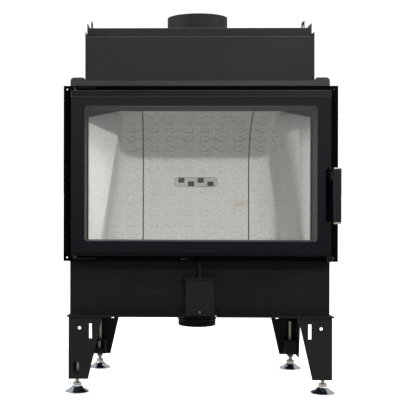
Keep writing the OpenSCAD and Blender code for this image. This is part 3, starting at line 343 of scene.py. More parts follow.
def cast_refractory(name, colour, course, stretch, pressed=1.0):
    """Pressed light grey refractory of the fire chamber: chalky and fine-pored, with stepped marks in
    courses where pressed is 1 and none where it is 0; the marks carry painted shade along their steps. It
    reads the piece's own map, in metres along the wall and up it."""
    material, tree, output = new_material(name)
    coords = add_node(tree, "ShaderNodeTexCoord")
    place = coords.outputs["Object"]
    # A little waviness of the pressing tool
    wander = add_node(tree, "ShaderNodeTexNoise", {"Vector": place, "Scale": 1 / (40 * MM), "Detail": 2.0})
    centred = add_node(tree, "ShaderNodeVectorMath", {0: wander.outputs["Color"], 1: (0.5, 0.5, 0.5)},
                       operation="SUBTRACT")
    small = add_node(tree, "ShaderNodeVectorMath", {0: centred.outputs["Vector"], "Scale": 4 * MM},
                     operation="SCALE")
    drawn = add_node(tree, "ShaderNodeVectorMath", {0: coords.outputs["UV"], 1: small.outputs["Vector"]},
                     operation="ADD")
    wall = add_node(tree, "ShaderNodeSeparateXYZ", {"Vector": drawn.outputs["Vector"]})
    # The marks are mirrored from one stretch to the next, and repeat from course to course
    aside = add_node(tree, "ShaderNodeMath", {0: wall.outputs["X"], 1: stretch}, operation="PINGPONG")
    lifted = add_node(tree, "ShaderNodeMath", {0: wall.outputs["Y"], 1: COURSE_LOW}, operation="SUBTRACT")
    rows = add_node(tree, "ShaderNodeMath", {0: lifted.outputs[0], 1: course}, operation="DIVIDE")
    row = add_node(tree, "ShaderNodeMath", {0: rows.outputs[0]}, operation="FRACT")
    up = add_node(tree, "ShaderNodeMath", {0: row.outputs[0], 1: course}, operation="MULTIPLY")
    # Each line of a mark in mm: its middle and half length aside, its middle and half height up the course,
    # and its depth as a share
    lines = ((27.5, 13.5, 2.0, 1.1, 1.0), (47.5, 6.5, 11.5, 1.1, 1.0), (33.5, 7.5, 20.5, 1.1, 0.85),
             (14.0, 1.0, 12.0, 10.0, 0.55), (54.0, 1.0, 16.0, 5.0, 0.5), (41.0, 1.0, 7.0, 5.0, 0.6))
    relief = 0.0
    for across, half, over, tall, depth in lines:
        mark = depth * pressed
        for value, middle, reach in ((aside, across, half), (up, over, tall)):
            off = add_node(tree, "ShaderNodeMath", {0: value.outputs[0], 1: middle * MM},
                           operation="SUBTRACT")
            far = add_node(tree, "ShaderNodeMath", {0: off.outputs[0]}, operation="ABSOLUTE")
            inside = add_node(tree, "ShaderNodeMapRange", {
                "Value": far.outputs[0], "From Min": (reach + 0.9) * MM, "From Max": (reach - 0.5) * MM},
                interpolation_type="SMOOTHSTEP")
            mark = add_node(tree, "ShaderNodeMath", {0: inside.outputs[0], 1: mark},
                            operation="MULTIPLY").outputs[0]
        relief = add_node(tree, "ShaderNodeMath", {0: mark, 1: relief}, operation="MAXIMUM").outputs[0]
    # The marks are sharp with dark painted shade in the vault, faint on the upright wall, and fade out
    # towards the cheeks
    wave = add_node(tree, "ShaderNodeTexNoise", {"Vector": place, "Scale": 1 / (26 * MM), "Detail": 3.0})
    broken = add_node(tree, "ShaderNodeMapRange", {
        "Value": wave.outputs["Fac"], "From Min": 0.36, "From Max": 0.6, "To Min": 0.35, "To Max": 1.0})
    crisp_and_shaded = add_node(tree, "ShaderNodeMapRange", {
        "Value": wall.outputs["Y"], "From Min": CRISP_SHADE_LOW - 10 * MM, "From Max": CRISP_SHADE_LOW + 50 * MM,
        "To Min": 0.36, "To Max": 1.0}, interpolation_type="SMOOTHSTEP")
    sideways = add_node(tree, "ShaderNodeMath", {0: wall.outputs["X"]}, operation="ABSOLUTE")
    inner = add_node(tree, "ShaderNodeMapRange", {
        "Value": sideways.outputs[0], "From Min": 310 * MM, "From Max": 270 * MM})
    held = add_node(tree, "ShaderNodeMath", {0: broken.outputs["Result"], 1: crisp_and_shaded.outputs["Result"]},
                    operation="MULTIPLY")
    kept = add_node(tree, "ShaderNodeMath", {0: held.outputs[0], 1: inner.outputs["Result"]},
                    operation="MULTIPLY")
    marks_relief_and_shade = add_node(tree, "ShaderNodeMath", {0: relief, 1: kept.outputs[0]}, operation="MULTIPLY")
    # Pores of about 5 mm and a slow unevenness cover the face
    pores = add_node(tree, "ShaderNodeTexNoise", {"Vector": place, "Scale": 1 / (5 * MM), "Detail": 3.0})
    fine = add_node(tree, "ShaderNodeMath", {0: pores.outputs["Fac"], 1: 0.3}, operation="MULTIPLY")
    ground = add_node(tree, "ShaderNodeMath", {0: wave.outputs["Fac"], 1: 0.5, 2: fine.outputs[0]},
                      operation="MULTIPLY_ADD")
    height = add_node(tree, "ShaderNodeMath", {0: ground.outputs[0], 1: marks_relief_and_shade.outputs[0]},
                      operation="SUBTRACT")
    bump = add_node(tree, "ShaderNodeBump", {
        "Height": height.outputs[0], "Strength": 0.7, "Distance": 1.4 * MM})
    # Colour: slow clouds, a few brown stains of old heat, grain, painted shade in the marks and the odd open
    # pore
    cloud = add_node(tree, "ShaderNodeTexNoise", {"Vector": place, "Scale": 1 / (90 * MM), "Detail": 5.0})
    tone = add_node(tree, "ShaderNodeMix", {
        "Factor": cloud.outputs["Fac"], 6: shaded(colour, 0.94), 7: shaded(colour, 1.05)},
        data_type="RGBA")
    heat = add_node(tree, "ShaderNodeMapRange", {
        "Value": cloud.outputs["Fac"], "From Min": 0.62, "From Max": 0.78, "To Max": 0.35})
    stained = add_node(tree, "ShaderNodeMix", {
        "Factor": heat.outputs["Result"], 6: tone.outputs[2], 7: linear("a9a184")}, data_type="RGBA")
    grain = add_node(tree, "ShaderNodeMapRange", {
        "Value": pores.outputs["Fac"], "From Min": 0.3, "From Max": 0.7, "To Min": 0.84, "To Max": 1.1})
    # Painted shade: the colour darkens where the marks' steps would be in shade
    dark = add_node(tree, "ShaderNodeMapRange", {"Value": marks_relief_and_shade.outputs[0], "To Min": 1.0, "To Max": 0.42})
    cells = add_node(tree, "ShaderNodeTexVoronoi", {"Vector": place, "Scale": 1 / (34 * MM)})
    hole = add_node(tree, "ShaderNodeMapRange", {
        "Value": cells.outputs["Distance"], "From Min": 0.05, "From Max": 0.075, "To Min": 0.55})
    shade = add_node(tree, "ShaderNodeMath", {0: grain.outputs["Result"], 1: dark.outputs["Result"]},
                     operation="MULTIPLY")
    dotted = add_node(tree, "ShaderNodeMath", {0: shade.outputs[0], 1: hole.outputs["Result"]},
                      operation="MULTIPLY")
    final = add_node(tree, "ShaderNodeVectorMath", {0: stained.outputs[2], "Scale": dotted.outputs[0]},
                     operation="SCALE")
    shader = add_node(tree, "ShaderNodeBsdfPrincipled", {
        "Base Color": final.outputs["Vector"], "Roughness": 0.95, "Specular IOR Level": 0.2,
        "Normal": bump.outputs["Normal"]})
    tree.links.new(shader.outputs["BSDF"], output.inputs["Surface"])
    return material


def clear_glass_ceramic(name, tint):
    """Fire-viewing glass ceramic: clear and float-smooth, with a pale grey film painted on as the lit room's
    reflection. The pane is thin next to the stove, so it lets light straight through instead of bending it."""
    material, tree, output = new_material(name)
    place = add_node(tree, "ShaderNodeTexCoord").outputs["Object"]
    reflection_haze = add_node(tree, "ShaderNodeTexNoise", {"Vector": place, "Scale": 1 / (150 * MM), "Detail": 4.0})
    # Painted reflection: a little grey with a low alpha stands for the room mirrored in the glass
    painted_reflection_veil = add_node(tree, "ShaderNodeMapRange", {
        "Value": reflection_haze.outputs["Fac"], "To Min": 0.045, "To Max": 0.052})
    shader = add_node(tree, "ShaderNodeBsdfPrincipled", {
        "Base Color": shaded(tint), "Roughness": 0.04, "Alpha": painted_reflection_veil.outputs["Result"]})
    tree.links.new(shader.outputs["BSDF"], output.inputs["Surface"])
    return material


def printed_glass(name, colour):
    """Blue-black ceramic print fired onto the glass border: seen through the polished sheet, it mirrors
    softly."""
    material, tree, output = new_material(name)
    place = add_node(tree, "ShaderNodeTexCoord").outputs["Object"]
    smear = add_node(tree, "ShaderNodeTexNoise", {"Vector": place, "Scale": 1 / (60 * MM), "Detail": 3.0})
    rough = add_node(tree, "ShaderNodeMapRange", {
        "Value": smear.outputs["Fac"], "To Min": 0.05, "To Max": 0.1})
    tone = add_node(tree, "ShaderNodeMix", {
        "Factor": smear.outputs["Fac"], 6: shaded(colour, 0.85), 7: shaded(colour)}, data_type="RGBA")
    shader = add_node(tree, "ShaderNodeBsdfPrincipled", {
        "Base Color": tone.outputs[2], "Roughness": rough.outputs["Result"], "Specular IOR Level": 0.3})
    tree.links.new(shader.outputs["BSDF"], output.inputs["Surface"])
    return material


def studio_sweep(name, colour):
    """Backlit white studio vinyl under the stove, with the faintest mottling."""
    material, tree, output = new_material(name)
    place = add_node(tree, "ShaderNodeTexCoord").outputs["Object"]
    mottle = add_node(tree, "ShaderNodeTexNoise", {"Vector": place, "Scale": 1.5, "Detail": 2.0})
    tone = add_node(tree, "ShaderNodeMix", {
        "Factor": mottle.outputs["Fac"], 6: shaded(colour, 0.99), 7: shaded(colour)}, data_type="RGBA")
    shader = add_node(tree, "ShaderNodeBsdfPrincipled", {
        "Base Color": tone.outputs[2], "Roughness": 0.85, "Specular IOR Level": 0.1,
        "Emission Color": (1.0, 1.0, 1.0, 1.0), "Emission Strength": 0.72})
    tree.links.new(shader.outputs["BSDF"], output.inputs["Surface"])
    return material


# Settings

class InsertPaint(bpy.types.PropertyGroup):
    """Colours of the insert's finishes."""
    surround: FloatVectorProperty(
        name="Surround", description="Paint of the surround and the small fittings on it", subtype="COLOR",
        default=linear("010101")[:3], min=0, max=1)
    flange: FloatVectorProperty(
        name="Flange", description="Paint of the flange behind the surround", subtype="COLOR",
        default=linear("2e2e2f")[:3], min=0, max=1)
    apron: FloatVectorProperty(
        name="Apron and casing", description="Paint of the casing, the base and the apron", subtype="COLOR",
        default=linear("131313")[:3], min=0, max=1)
    legs: FloatVectorProperty(
        name="Legs", description="Paint of the legs, the foot carriers and the air box", subtype="COLOR",
        default=linear("181818")[:3], min=0, max=1)
    hood: FloatVectorProperty(
        name="Hood", description="Paint of the hood, the smoke box and the flue spigot", subtype="COLOR",
        default=linear("242424")[:3], min=0, max=1)
    firebox: FloatVectorProperty(
        name="Firebox", description="Paint of the firebox front behind the glass", subtype="COLOR",
        default=linear("090909")[:3], min=0, max=1)
    steel: FloatVectorProperty(
        name="Plain steel", description="Uncoated steel inside and on pins and screws", subtype="COLOR",
        default=linear("8f8c86")[:3], min=0, max=1)
    lining: FloatVectorProperty(
        name="Lining", description="Refractory of the fire chamber", subtype="COLOR",
        default=linear("dfddd9")[:3], min=0, max=1)
    print_black: FloatVectorProperty(
        name="Glass border", description="Print along the edge of the glass", subtype="COLOR",
        default=linear("03040b")[:3], min=0, max=1)


class InsertSizes(bpy.types.PropertyGroup):
    """Sizes of the details that the looks add."""
    broken_edge: FloatProperty(
        name="Broken edge", description="Radius of the sheet pieces' edges", default=0.8 * MM, min=0.2 * MM,
        max=1.2 * MM, subtype="DISTANCE", unit="LENGTH", precision=5)
    window_width: FloatProperty(
        name="Window width", description="Clear width between the printed borders", default=713 * MM,
        min=0.4, max=0.75, subtype="DISTANCE", unit="LENGTH", precision=4)
    window_height: FloatProperty(
        name="Window height", description="Clear height between the printed borders", default=417 * MM,
        min=0.3, max=0.45, subtype="DISTANCE", unit="LENGTH", precision=4)
    window_low: FloatProperty(
        name="Window's lower edge", description="Height of the clear window above the surround's lower edge",
        default=63 * MM, min=0.04, max=0.1, subtype="DISTANCE", unit="LENGTH", precision=4)
    window_corner: FloatProperty(
        name="Window corner", description="Corner radius of the clear window", default=8 * MM, min=0.001,
        max=0.03, subtype="DISTANCE", unit="LENGTH", precision=4)
    course: FloatProperty(
        name="Relief course", description="Height of one course of the pressed marks", default=37.8 * MM,
        min=0.02, max=0.08, subtype="DISTANCE", unit="LENGTH", precision=4)
    stretch: FloatProperty(
        name="Relief stretch", description="Length of one pressed mark before it is mirrored",
        default=58.5 * MM, min=0.03, max=0.15, subtype="DISTANCE", unit="LENGTH", precision=4)


# Stage

class INSERT_OT_stage(bpy.types.Operator):
    """Sets the pale floor, the studio lights and the camera"""
    bl_idname = "insert.stage"
    bl_label = "Set the stage"

    def execute(self, context):
        scene = context.scene
        scene.view_settings.view_transform = "Standard"
        bpy.ops.object.select_all(action="DESELECT")
        # The vinyl ends in front of the stove, so the glass mirrors the darker room there
        bpy.ops.mesh.primitive_plane_add(size=FLOOR_SIZE, location=(0, FLOOR_SIZE / 2 - FLOOR_BEFORE, 0))
        floor = context.object
        floor.name = "studio_floor"
        bpy.ops.object.transform_apply(location=True, rotation=True, scale=True)
        dress(floor, studio_sweep("white_studio_vinyl", linear("f7f7f7")))
        # It bounces no light up into the black underside, which the photograph keeps dark
        floor.visible_diffuse = False
        # A white backdrop to the eye, and a softer room to light by
        world = bpy.data.worlds.new("white_room")
        scene.world = world
        world.use_nodes = True
        tree = world.node_tree
        tree.nodes.clear()
        # The room is brighter over the eye's level than under it
        ways = add_node(tree, "ShaderNodeSeparateXYZ", {
            "Vector": add_node(tree, "ShaderNodeTexCoord").outputs["Generated"]})
        strength = add_node(tree, "ShaderNodeMapRange", {
            "Value": ways.outputs["Z"], "From Min": -ROOM_CHANGE, "From Max": ROOM_CHANGE,
            "To Min": ROOM_LOW, "To Max": ROOM_HIGH}, interpolation_type="SMOOTHSTEP")
        white = shaded((1, 1, 1))
        room = add_node(tree, "ShaderNodeBackground", {
            "Color": white, "Strength": strength.outputs["Result"]})
        backdrop = add_node(tree, "ShaderNodeBackground", {"Color": white, "Strength": 1.1})
        ray = add_node(tree, "ShaderNodeLightPath")
        seen = add_node(tree, "ShaderNodeMixShader", {
            "Fac": ray.outputs["Is Camera Ray"], 1: room.outputs["Background"],
            2: backdrop.outputs["Background"]})
        add_node(tree, "ShaderNodeOutputWorld", {"Surface": seen.outputs["Shader"]})
        # A small key high on the right, a lamp abeam on each side, and a strip behind for the hood's edges:
        # azimuth and height in degrees, reach, width and depth in metres, power in watts
        chamber = Vector((0.0, FRONT_Y + 0.2, 0.7))
        lamps = (
            ("key_softbox", 19, 23.4, 3.6, 0.11, 0.11, 58),
            ("side_softbox", 72.6, 16, 3.4, 0.35, 0.35, 56),
            ("far_softbox", -77.2, 10, 3.4, 0.3, 0.3, 78),
            ("top_strip", 175, 62, 2.6, 1.8, 0.4, 10),
        )
        for name, azimuth, height, reach, width, depth, power in lamps:
            light = bpy.data.lights.new(name, "AREA")
            light.shape = "RECTANGLE"
            light.size, light.size_y, light.energy = width, depth, power
            lamp = bpy.data.objects.new(name, light)
            scene.collection.objects.link(lamp)
            turn, rise = math.radians(azimuth), math.radians(height)
            flat = math.cos(rise)
            away = Vector((math.sin(turn) * flat, -math.cos(turn) * flat, math.sin(rise)))
            lamp.location = chamber + away * reach
            lamp.rotation_euler = away.to_track_quat("Z", "Y").to_euler()
        # The photograph is taken nearly level, a little to the left, with the frame shifted
        data = bpy.data.cameras.new("stove_camera")
        data.sensor_width = 36
        data.lens = FOCAL * data.sensor_width
        data.shift_x = FRAME_ASIDE + math.tan(CAMERA_YAW) * FOCAL
        data.shift_y = FRAME_UP
        camera = bpy.data.objects.new("stove_camera", data)
        scene.collection.objects.link(camera)
        camera.location = (CAMERA_ASIDE, FRONT_Y - CAMERA_AWAY, CAMERA_HEIGHT)
        camera.rotation_euler = (math.pi / 2, -CAMERA_ROLL, CAMERA_YAW)
        scene.camera = camera
        return {"FINISHED"}


# Pieces

class INSERT_OT_sheet_metal(bpy.types.Operator):
    """Paints the surround, casing, hood and legs and breaks the sheets' edges"""
    bl_idname = "insert.sheet_metal"
    bl_label = "Paint the sheet metal"

    def execute(self, context):
        paint, sizes = context.scene.insert_paint, context.scene.insert_sizes
        edge = sizes.broken_edge
        surround = stove_paint("matt_black_surround_paint", paint.surround, 0.6, 0.02, 0.05)
        # The lighter edge colours are painted highlights along the broken edges
        surround_highlight = stove_paint("painted_highlight_surround_edge", linear("121212"), 0.4, 0.15, 0.1)
        flange = stove_paint("flange_paint", paint.flange, 0.5, 0.2)
        flange_highlight = stove_paint("painted_highlight_flange_edge", linear("6a6864"), 0.35, 0.4)
        casing = stove_paint("apron_and_casing_paint", paint.apron, 0.6, 0.07)
        casing_highlight = stove_paint("painted_highlight_casing_edge", linear("2c2a29"), 0.4, 0.2)
        hood = stove_paint("charcoal_hood_paint", paint.hood, 0.6, 0.1)
        hood_highlight = stove_paint("painted_highlight_hood_edge", linear("5b5955"), 0.4, 0.3)
        legs = stove_paint("leg_paint", paint.legs, 0.6, 0.07)
        legs_highlight = stove_paint("painted_highlight_leg_edge", linear("2c2a29"), 0.4, 0.2)
        groups = (
            (surround, surround_highlight, ("front_frame",)),
            (flange, flange_highlight, ("front_flange",)),
            (casing, casing_highlight, (
                "lower_front_plate", "base_plate", "casing_jacket", "casing_top_plate")),
            (legs, legs_highlight, (
                "air_box", "air_box_lid", "leg_front_left", "leg_front_right", "leg_rear_left",
                "leg_rear_right", "foot_carriers")),
            (hood, hood_highlight, (
                "hood_jacket", "smoke_box", "smoke_box_top_plate", "flue_collar", "lifting_lugs")),
            (stove_paint("inlet_paint", linear("0e0e0d"), 0.6, 0.05), casing_highlight, ("air_inlet_collar",)),
        )
        for paint_face, edge_highlight, nodes in groups:
            for node in nodes:
                broken_edges(node, edge, paint_face, edge_highlight)
        return {"FINISHED"}


class INSERT_OT_firebox(bpy.types.Operator):
    """Finishes the steel firebox behind the glass"""
    bl_idname = "insert.firebox"
    bl_label = "Finish the firebox"

    def execute(self, context):
        paint = context.scene.insert_paint
        front = stove_paint("firebox_front_paint", paint.firebox, 0.85, 0.03)
        # A lighter colour on the plate's broken edges as a painted highlight
        edge = stove_paint("painted_highlight_firebox_front_edge", linear("1c1c1c"), 0.6, 0.1)
        broken_edges("firebox_front_plate", context.scene.insert_sizes.broken_edge, front, edge)
        plate = bare_metal("mill_scaled_steel", paint.steel, 0.45, 6)
        for node in ("firebox_jacket", "firebox_floor_plate", "firebox_top_plate", "smoke_deflector",
                     "secondary_air_duct"):
            dress(PARTS[node], plate)
        dress(PARTS["plenum_shelf"], stove_paint("shelf_paint", paint.apron, 0.55, 0.15))
        return {"FINISHED"}


class INSERT_OT_lining(bpy.types.Operator):
    """Maps the refractory pieces along their walls and gives them their pressed relief"""
    bl_idname = "insert.lining"
    bl_label = "Line the fire chamber"

    def execute(self, context):
        paint, sizes = context.scene.insert_paint, context.scene.insert_sizes
        relief = cast_refractory("pressed_refractory", paint.lining, sizes.course, sizes.stretch)
        smooth = cast_refractory("smooth_refractory", paint.lining, sizes.course, sizes.stretch, 0.0)
        for node in ("lining_back", "lining_floor"):
            map_along_walls(broken_edges(node, 1.2 * MM, relief))
        for node in SIDE_WALLS:
            press_side_wall(node, relief, smooth)
        nozzle = stove_paint("nozzle_cast", linear("bdbbb7"), 0.9, 0.1, 2.0)
        nozzle_edge = stove_paint("nozzle_shadow_edge", linear("3c3b39"), 0.9, 0.1)
        broken_edges("nozzle_plate", 1.2 * MM, nozzle, nozzle_edge)
        return {"FINISHED"}


def stretch_points(start, end, count):
    """Evenly spaced points on a straight stretch, from the first one after its start to its end."""
    return [tuple(a + (b - a) * i / count for a, b in zip(start, end)) for i in range(1, count + 1)]


def plan_of_side(wall, high, back):
    """Half of the chamber's plan at one height, from the mouth to the joint, as (x, depth) points: the
    flared cheek, the leaning side behind its ridge, the rounded corner and the flat back."""
    # Under the vault the ridge and the corner keep this much room, so that no face shrinks to nothing
    ridge_room, corner_room, joint_room = 42 * MM, 12 * MM, 10 * MM
    half = wall["half"] - wall["lean"] * (high - SIDE_LOW)
    half = max(half, MOUTH_HALF + CHEEK_DEPTH - back + ridge_room)
    ridge = MOUTH_HALF + CHEEK_DEPTH - half
    radius = min(wall["corner"], back - ridge - corner_room, half - JOINT_X - joint_room)
    rear = half - (back - radius - ridge) * SIDE_CLOSING
    points = [(MOUTH_HALF, CHEEK_DEPTH)]
    points += stretch_points(points[0], (half, ridge), CHEEK_COLUMNS)
    points += stretch_points((half, ridge), (rear, back - radius), SIDE_COLUMNS)
    for column in range(1, CORNER_COLUMNS + 1):
        turn = math.pi / 2 * column / CORNER_COLUMNS
        points.append((rear - radius + radius * math.cos(turn), back - radius + radius * math.sin(turn)))
    points += stretch_points((rear - radius, back), (JOINT_X, back), BACK_COLUMNS)
    # Each rub moves the points round the ridge towards the mean of their neighbours
    rubbed = range(1, CHEEK_COLUMNS + SIDE_COLUMNS + 2)
    for _ in range(wall["rubs"]):
        moved = [tuple((a + 2 * b + c) / 4 for a, b, c in zip(*points[i - 1:i + 2])) for i in rubbed]
        points[rubbed.start:rubbed.stop] = moved
    return points


def levels_of_side():
    """Rows of the side pieces' grid as (height, depth of the back, way up the wall), over the upright wall
    and then round the vault."""
    levels = []
    for row in range(UPRIGHT_ROWS):
        high = LINING_LOW + (VAULT_Z - LINING_LOW) * row / UPRIGHT_ROWS
        levels.append((high, VAULT_DEPTH + VAULT_RADIUS, high))
    for row in range(VAULT_ROWS + 1):
        turn = VAULT_TURN * row / VAULT_ROWS
        high, back = VAULT_RADIUS * math.sin(turn), VAULT_RADIUS * math.cos(turn)
        levels.append((VAULT_Z + high, VAULT_DEPTH + back, VAULT_Z + VAULT_RADIUS * turn))
    return levels


def steel_round_chamber():
    """The firebox steel beside and over the lining, as a surface for rays to meet."""
    corners, sheets = [], []
    for steel in (PARTS["firebox_jacket"], PARTS["firebox_top_plate"]):
        sheets += [[index + len(corners) for index in face.vertices] for face in steel.data.polygons]
        corners += [steel.matrix_world @ vertex.co for vertex in steel.data.vertices]
    return BVHTree.FromPolygons(corners, sheets)


def press_side_wall(node, relief, smooth):
    """Shapes a side piece of the lining with its flared cheek, from a grid that is bent along the plan."""
    # The face stays this far inside the steel, so that the wall's thickness fits in between
    thickness, steel_clear = 15 * MM, 18 * MM
    side = SIDE_WALLS[node]["side"]
    levels = levels_of_side()
    plans = [plan_of_side(SIDE_WALLS[node], high, back) for high, back, _ in levels]
    steel = steel_round_chamber()
    columns, rows = len(plans[0]) - 1, len(levels) - 1
    bpy.ops.object.select_all(action="DESELECT")
    bpy.ops.mesh.primitive_grid_add(x_subdivisions=columns, y_subdivisions=rows, size=2)
    wall = bpy.context.object
    dress(wall, relief, smooth)
    mesh = wall.data
    layer = mesh.uv_layers.active
    places = {}
    for vertex in mesh.vertices:
        column = round((vertex.co.x + 1) / 2 * columns)
        row = round((vertex.co.y + 1) / 2 * rows)
        high, back, up = levels[row]
        plan = plans[row]
        along = JOINT_X + sum(math.dist(plan[i], plan[i + 1]) for i in range(column, columns))
        places[vertex.index] = (side * (along - MARKS_SHIFT), up, column)
        # Where the steel turns in over the corner, the wall turns in with it
        middle = Vector((0, FRONT_Y + 120 * MM, high))
        out = Vector((side * plan[column][0], FRONT_Y + plan[column][1], high)) - middle
        reach = steel.ray_cast(middle, out.normalized())[3]
        room = out.length if reach is None else min(out.length, reach - steel_clear)
        vertex.co = middle + out.normalized() * room
    # The cheek is smooth and the rest pressed
    for face in mesh.polygons:
        on_cheek = max(places[v][2] for v in face.vertices) <= CHEEK_COLUMNS
        face.material_index = 1 if on_cheek else 0
        for loop in face.loop_indices:
            layer.data[loop].uv = places[mesh.loops[loop].vertex_index][:2]
    only(wall)
    bpy.ops.object.mode_set(mode="EDIT")
    bpy.ops.mesh.select_all(action="SELECT")
    # The grid faces the fire, so that the wall gets its thickness away from it
    if mesh.polygons[0].normal.x * side > 0:
        bpy.ops.mesh.flip_normals()
    bpy.ops.object.mode_set(mode="OBJECT")
    apply_modifier(wall, "SOLIDIFY", thickness=thickness, offset=-1.0)
    apply_modifier(wall, "BEVEL", width=1.2 * MM, segments=2, limit_method="ANGLE",
                   angle_limit=math.radians(32))
    bpy.ops.object.shade_smooth_by_angle(angle=math.radians(30))
    settle(wall, node + "_pressed", node)


def map_along_walls(obj):
    """Lays the map of the middle piece or the floor: metres along the wall from the middle of the back, and
    up it over the vault. Towards the mouth it spreads out with the chamber's splay."""
    # The solids' plan: splay of the sides, and radius and middle of the corner
    splay, radius = math.radians(18), 90 * MM
    corner = Vector((200.2 * MM, FRONT_Y + 260 * MM))
    meet = corner + Vector((math.cos(splay), math.sin(splay))) * radius
    axis_y = FRONT_Y + VAULT_DEPTH
    mesh = obj.data
    layer = mesh.uv_layers.active or mesh.uv_layers.new(name="wall")
    shift = 0.0 if obj.name.startswith("lining_back") else MARKS_SHIFT
    for face in mesh.polygons:
        for loop in face.loop_indices:
            point = mesh.vertices[mesh.loops[loop].vertex_index].co
            x, y, up = abs(point.x), point.y, point.z
            turn = math.atan2(y - corner.y, x - corner.x)
            along = min(x, corner.x) + radius * min(max(math.pi / 2 - turn, 0), math.pi / 2 - splay)
            along += max(0.0, (x - meet.x) * math.sin(splay) - (y - meet.y) * math.cos(splay))
            reach = math.hypot(y - axis_y, up - VAULT_Z)
            if abs(reach - VAULT_RADIUS) < 2 * MM and up > VAULT_Z and abs(face.normal.z) > 0.02:
                rise = math.atan2(up - VAULT_Z, y - axis_y)
                up = VAULT_Z + VAULT_RADIUS * min(max(rise, 0), math.pi / 2)
            layer.data[loop].uv = (math.copysign(along - shift, point.x), up)


class INSERT_OT_door(bpy.types.Operator):
    """Finishes the door's frame, rails, seals, hinge and latch"""
    bl_idname = "insert.door"
    bl_label = "Finish the door"

    def execute(self, context):
        broken_edge = context.scene.insert_sizes.broken_edge
        satin = stove_paint("door_paint", linear("101011"), 0.5, 0.12, 0.2)
        # A lighter colour on the broken edges of the door and its fittings as a painted highlight
        satin_highlight = stove_paint("painted_highlight_door_edge", linear("5c595a"), 0.3, 0.4, 0.2)
        for node in ("door_frame", "door_top_rail"):
            broken_edges(node, broken_edge * 0.8, satin, satin_highlight)
        low_rail = stove_paint("low_rail_paint", linear("08080a"), 0.55, 0.05, 0.2)
        broken_edges("door_bottom_rail", broken_edge * 0.8, low_rail)
        fittings = stove_paint("fittings_paint", linear("060606"), 0.5, 0.06, 0.1)
        for node in ("hinge_brackets", "handle_bracket", "door_rest"):
            broken_edges(node, broken_edge * 0.7, fittings, satin_highlight)
        rope = glass_rope("knitted_glass_rope", linear("232222"), 8.7085)
        for node in ("door_gasket", "glass_seal"):
            dress(PARTS[node], rope)
        steel = bare_metal("turned_steel", linear("8a8883"), 0.32, 2)
        for node in ("hinge_bushes", "handle_pin", "latch_keeper"):
            dress(PARTS[node], steel)
        blackened = bare_metal("blackened_steel", linear("3c3b3a"), 0.4, 2)
        for node in ("hinge_pins", "leg_bolts", "foot_nuts"):
            dress(PARTS[node], blackened)
        # The screws went on before the paint, all but the bright one that closes the air box
        zinc = bare_metal("zinc_plated_screws", linear("565451"), 0.5, 1.5)
        screws = broken_edges("body_screws", 0.4 * MM, fittings, zinc)
        box_low, box_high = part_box("air_box")
        for face in screws.data.polygons:
            on_box = box_low.x < face.center.x < box_high.x and face.center.z < box_high.z + 10 * MM
            face.material_index = 1 if on_box else 0
        return {"FINISHED"}


class INSERT_OT_glass(bpy.types.Operator):
    """Cuts the glass pane with its printed border"""
    bl_idname = "insert.glass"
    bl_label = "Glaze the door"

    def execute(self, context):
        paint, sizes = context.scene.insert_paint, context.scene.insert_sizes
        middle = SURROUND_Z + sizes.window_low + sizes.window_height / 2
        bpy.ops.object.select_all(action="DESELECT")
        # The clear window, its corners rounded, lying flat until the pane is turned upright
        bpy.ops.mesh.primitive_plane_add(size=1, location=(0, 0, 0))
        pane = context.object
        dress(pane, clear_glass_ceramic("clear_glass_ceramic", linear("adadac")),
              printed_glass("black_printed_glass", paint.print_black))
        pane.scale = (sizes.window_width, sizes.window_height, 1)
        bpy.ops.object.transform_apply(location=True, rotation=True, scale=True)
        bpy.ops.object.mode_set(mode="EDIT")
        bpy.ops.mesh.select_all(action="SELECT")
        bpy.ops.mesh.bevel(offset=sizes.window_corner, segments=6, affect="VERTICES")
        # The border is filled between the window's outline and the sheet's
        shape = bmesh.from_edit_mesh(pane.data)
        window = shape.faces[:]
        inner = shape.edges[:]
        low, high = GLASS_LOW.z - middle, GLASS_HIGH.z - middle
        corners = [shape.verts.new(c) for c in (
            (GLASS_LOW.x, low, 0), (GLASS_HIGH.x, low, 0), (GLASS_HIGH.x, high, 0), (GLASS_LOW.x, high, 0))]
        outer = [shape.edges.new((corners[i], corners[(i + 1) % 4])) for i in range(4)]
        border = bmesh.ops.triangle_fill(shape, edges=inner + outer, use_beauty=True)["geom"]
        # Faces that the fill laid over the window itself go again
        half_width = sizes.window_width / 2 - sizes.window_corner
        half_height = sizes.window_height / 2 - sizes.window_corner
        doubled = [f for f in border if isinstance(f, bmesh.types.BMFace)
                   and not any(v in corners for v in f.verts)
                   and abs(f.calc_center_median().x) < half_width
                   and abs(f.calc_center_median().y) < half_height]
        bmesh.ops.delete(shape, geom=doubled, context="FACES_ONLY")
        for face in shape.faces:
            face.material_index = 0 if face in window else 1
            if face.normal.z < 0:
                face.normal_flip()
        bmesh.update_edit_mesh(pane.data)
        bpy.ops.object.mode_set(mode="OBJECT")
        pane.rotation_euler = (math.pi / 2, 0, 0)
        pane.location = (0, GLASS_LOW.y, middle)
        bpy.ops.object.transform_apply(location=True, rotation=True, scale=True)
        apply_modifier(pane, "SOLIDIFY", thickness=GLASS_HIGH.y - GLASS_LOW.y, offset=-1.0)
        apply_modifier(pane, "BEVEL", width=0.6 * MM, segments=2, limit_method="ANGLE",
                       angle_limit=math.radians(60))
        settle(pane, "glass_pane", "door_glass")
        return {"FINISHED"}


class INSERT_OT_handle(bpy.types.Operator):
    """Shapes the grip and plates the link that pulls the latch"""
    bl_idname = "insert.handle"
    bl_label = "Fit the handle"

    def execute(self, context):
        nickel = bare_metal("satin_nickel", linear("bdb4aa"), 0.25, 1.2, (1, 1, 10))
        broken_edges("handle_link", 0.6 * MM, nickel)
        broken_edges("handle_caps", 0.8 * MM, nickel)
        grip = moulded_phenolic("black_grip_moulding", linear("060607"))
        broken_edges("handle_grip", 0.5 * MM, grip)
        return {"FINISHED"}


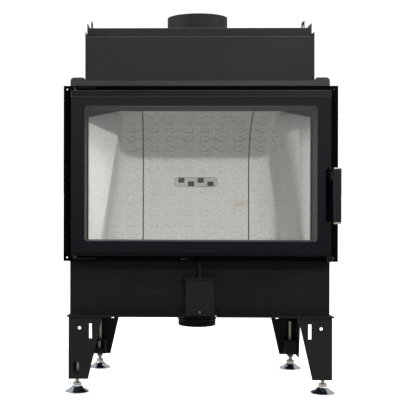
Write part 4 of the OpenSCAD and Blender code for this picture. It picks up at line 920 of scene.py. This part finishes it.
class INSERT_OT_air_control(bpy.types.Operator):
    """Finishes the air lever, its rod and the vane"""
    bl_idname = "insert.air_control"
    bl_label = "Finish the air control"

    def execute(self, context):
        steel = bare_metal("lever_steel", linear("302f2e"), 0.45, 3)
        broken_edges("air_lever", 0.5 * MM, steel)
        black = stove_paint("blackened_rod_paint", linear("161616"), 0.5, 0.15, 0.3)
        for node in ("air_rod", "rod_bush", "air_vane"):
            dress(PARTS[node], black)
        return {"FINISHED"}


class INSERT_OT_feet(bpy.types.Operator):
    """Plates the levelling feet and cuts their threads"""
    bl_idname = "insert.feet"
    bl_label = "Plate the feet"

    def execute(self, context):
        zinc = threaded_zinc("bright_zinc_foot", 2.0, 29)
        for node in ("foot_front_left", "foot_front_right", "foot_rear_left", "foot_rear_right"):
            broken_edges(node, 0.6 * MM, zinc, angle=40)
        return {"FINISHED"}


class INSERT_PT_dresser(bpy.types.Panel):
    """Lists the steps in the sidebar"""
    bl_label = "Fireplace insert"
    bl_idname = "INSERT_PT_dresser"
    bl_space_type = "VIEW_3D"
    bl_region_type = "UI"
    bl_category = "Fireplace"

    def draw(self, context):
        layout = self.layout
        for group in (context.scene.insert_paint, context.scene.insert_sizes):
            for name in group.__annotations__:
                layout.prop(group, name)
        for step in STEPS:
            layout.operator(step.bl_idname)


STEPS = (INSERT_OT_stage, INSERT_OT_sheet_metal, INSERT_OT_firebox, INSERT_OT_lining, INSERT_OT_door,
         INSERT_OT_glass, INSERT_OT_handle, INSERT_OT_air_control, INSERT_OT_feet)
CLASSES = (InsertPaint, InsertSizes) + STEPS + (INSERT_PT_dresser,)


def register():
    for cls in CLASSES:
        bpy.utils.register_class(cls)
    bpy.types.Scene.insert_paint = PointerProperty(type=InsertPaint)
    bpy.types.Scene.insert_sizes = PointerProperty(type=InsertSizes)


def unregister():
    del bpy.types.Scene.insert_sizes
    del bpy.types.Scene.insert_paint
    for cls in reversed(CLASSES):
        bpy.utils.unregister_class(cls)


def main():
    """Runs every step in order."""
    register()
    bpy.ops.insert.stage()
    bpy.ops.insert.sheet_metal()
    bpy.ops.insert.firebox()
    bpy.ops.insert.lining()
    bpy.ops.insert.door()
    bpy.ops.insert.glass()
    bpy.ops.insert.handle()
    bpy.ops.insert.air_control()
    bpy.ops.insert.feet()


if __name__ == "__main__":
    main()
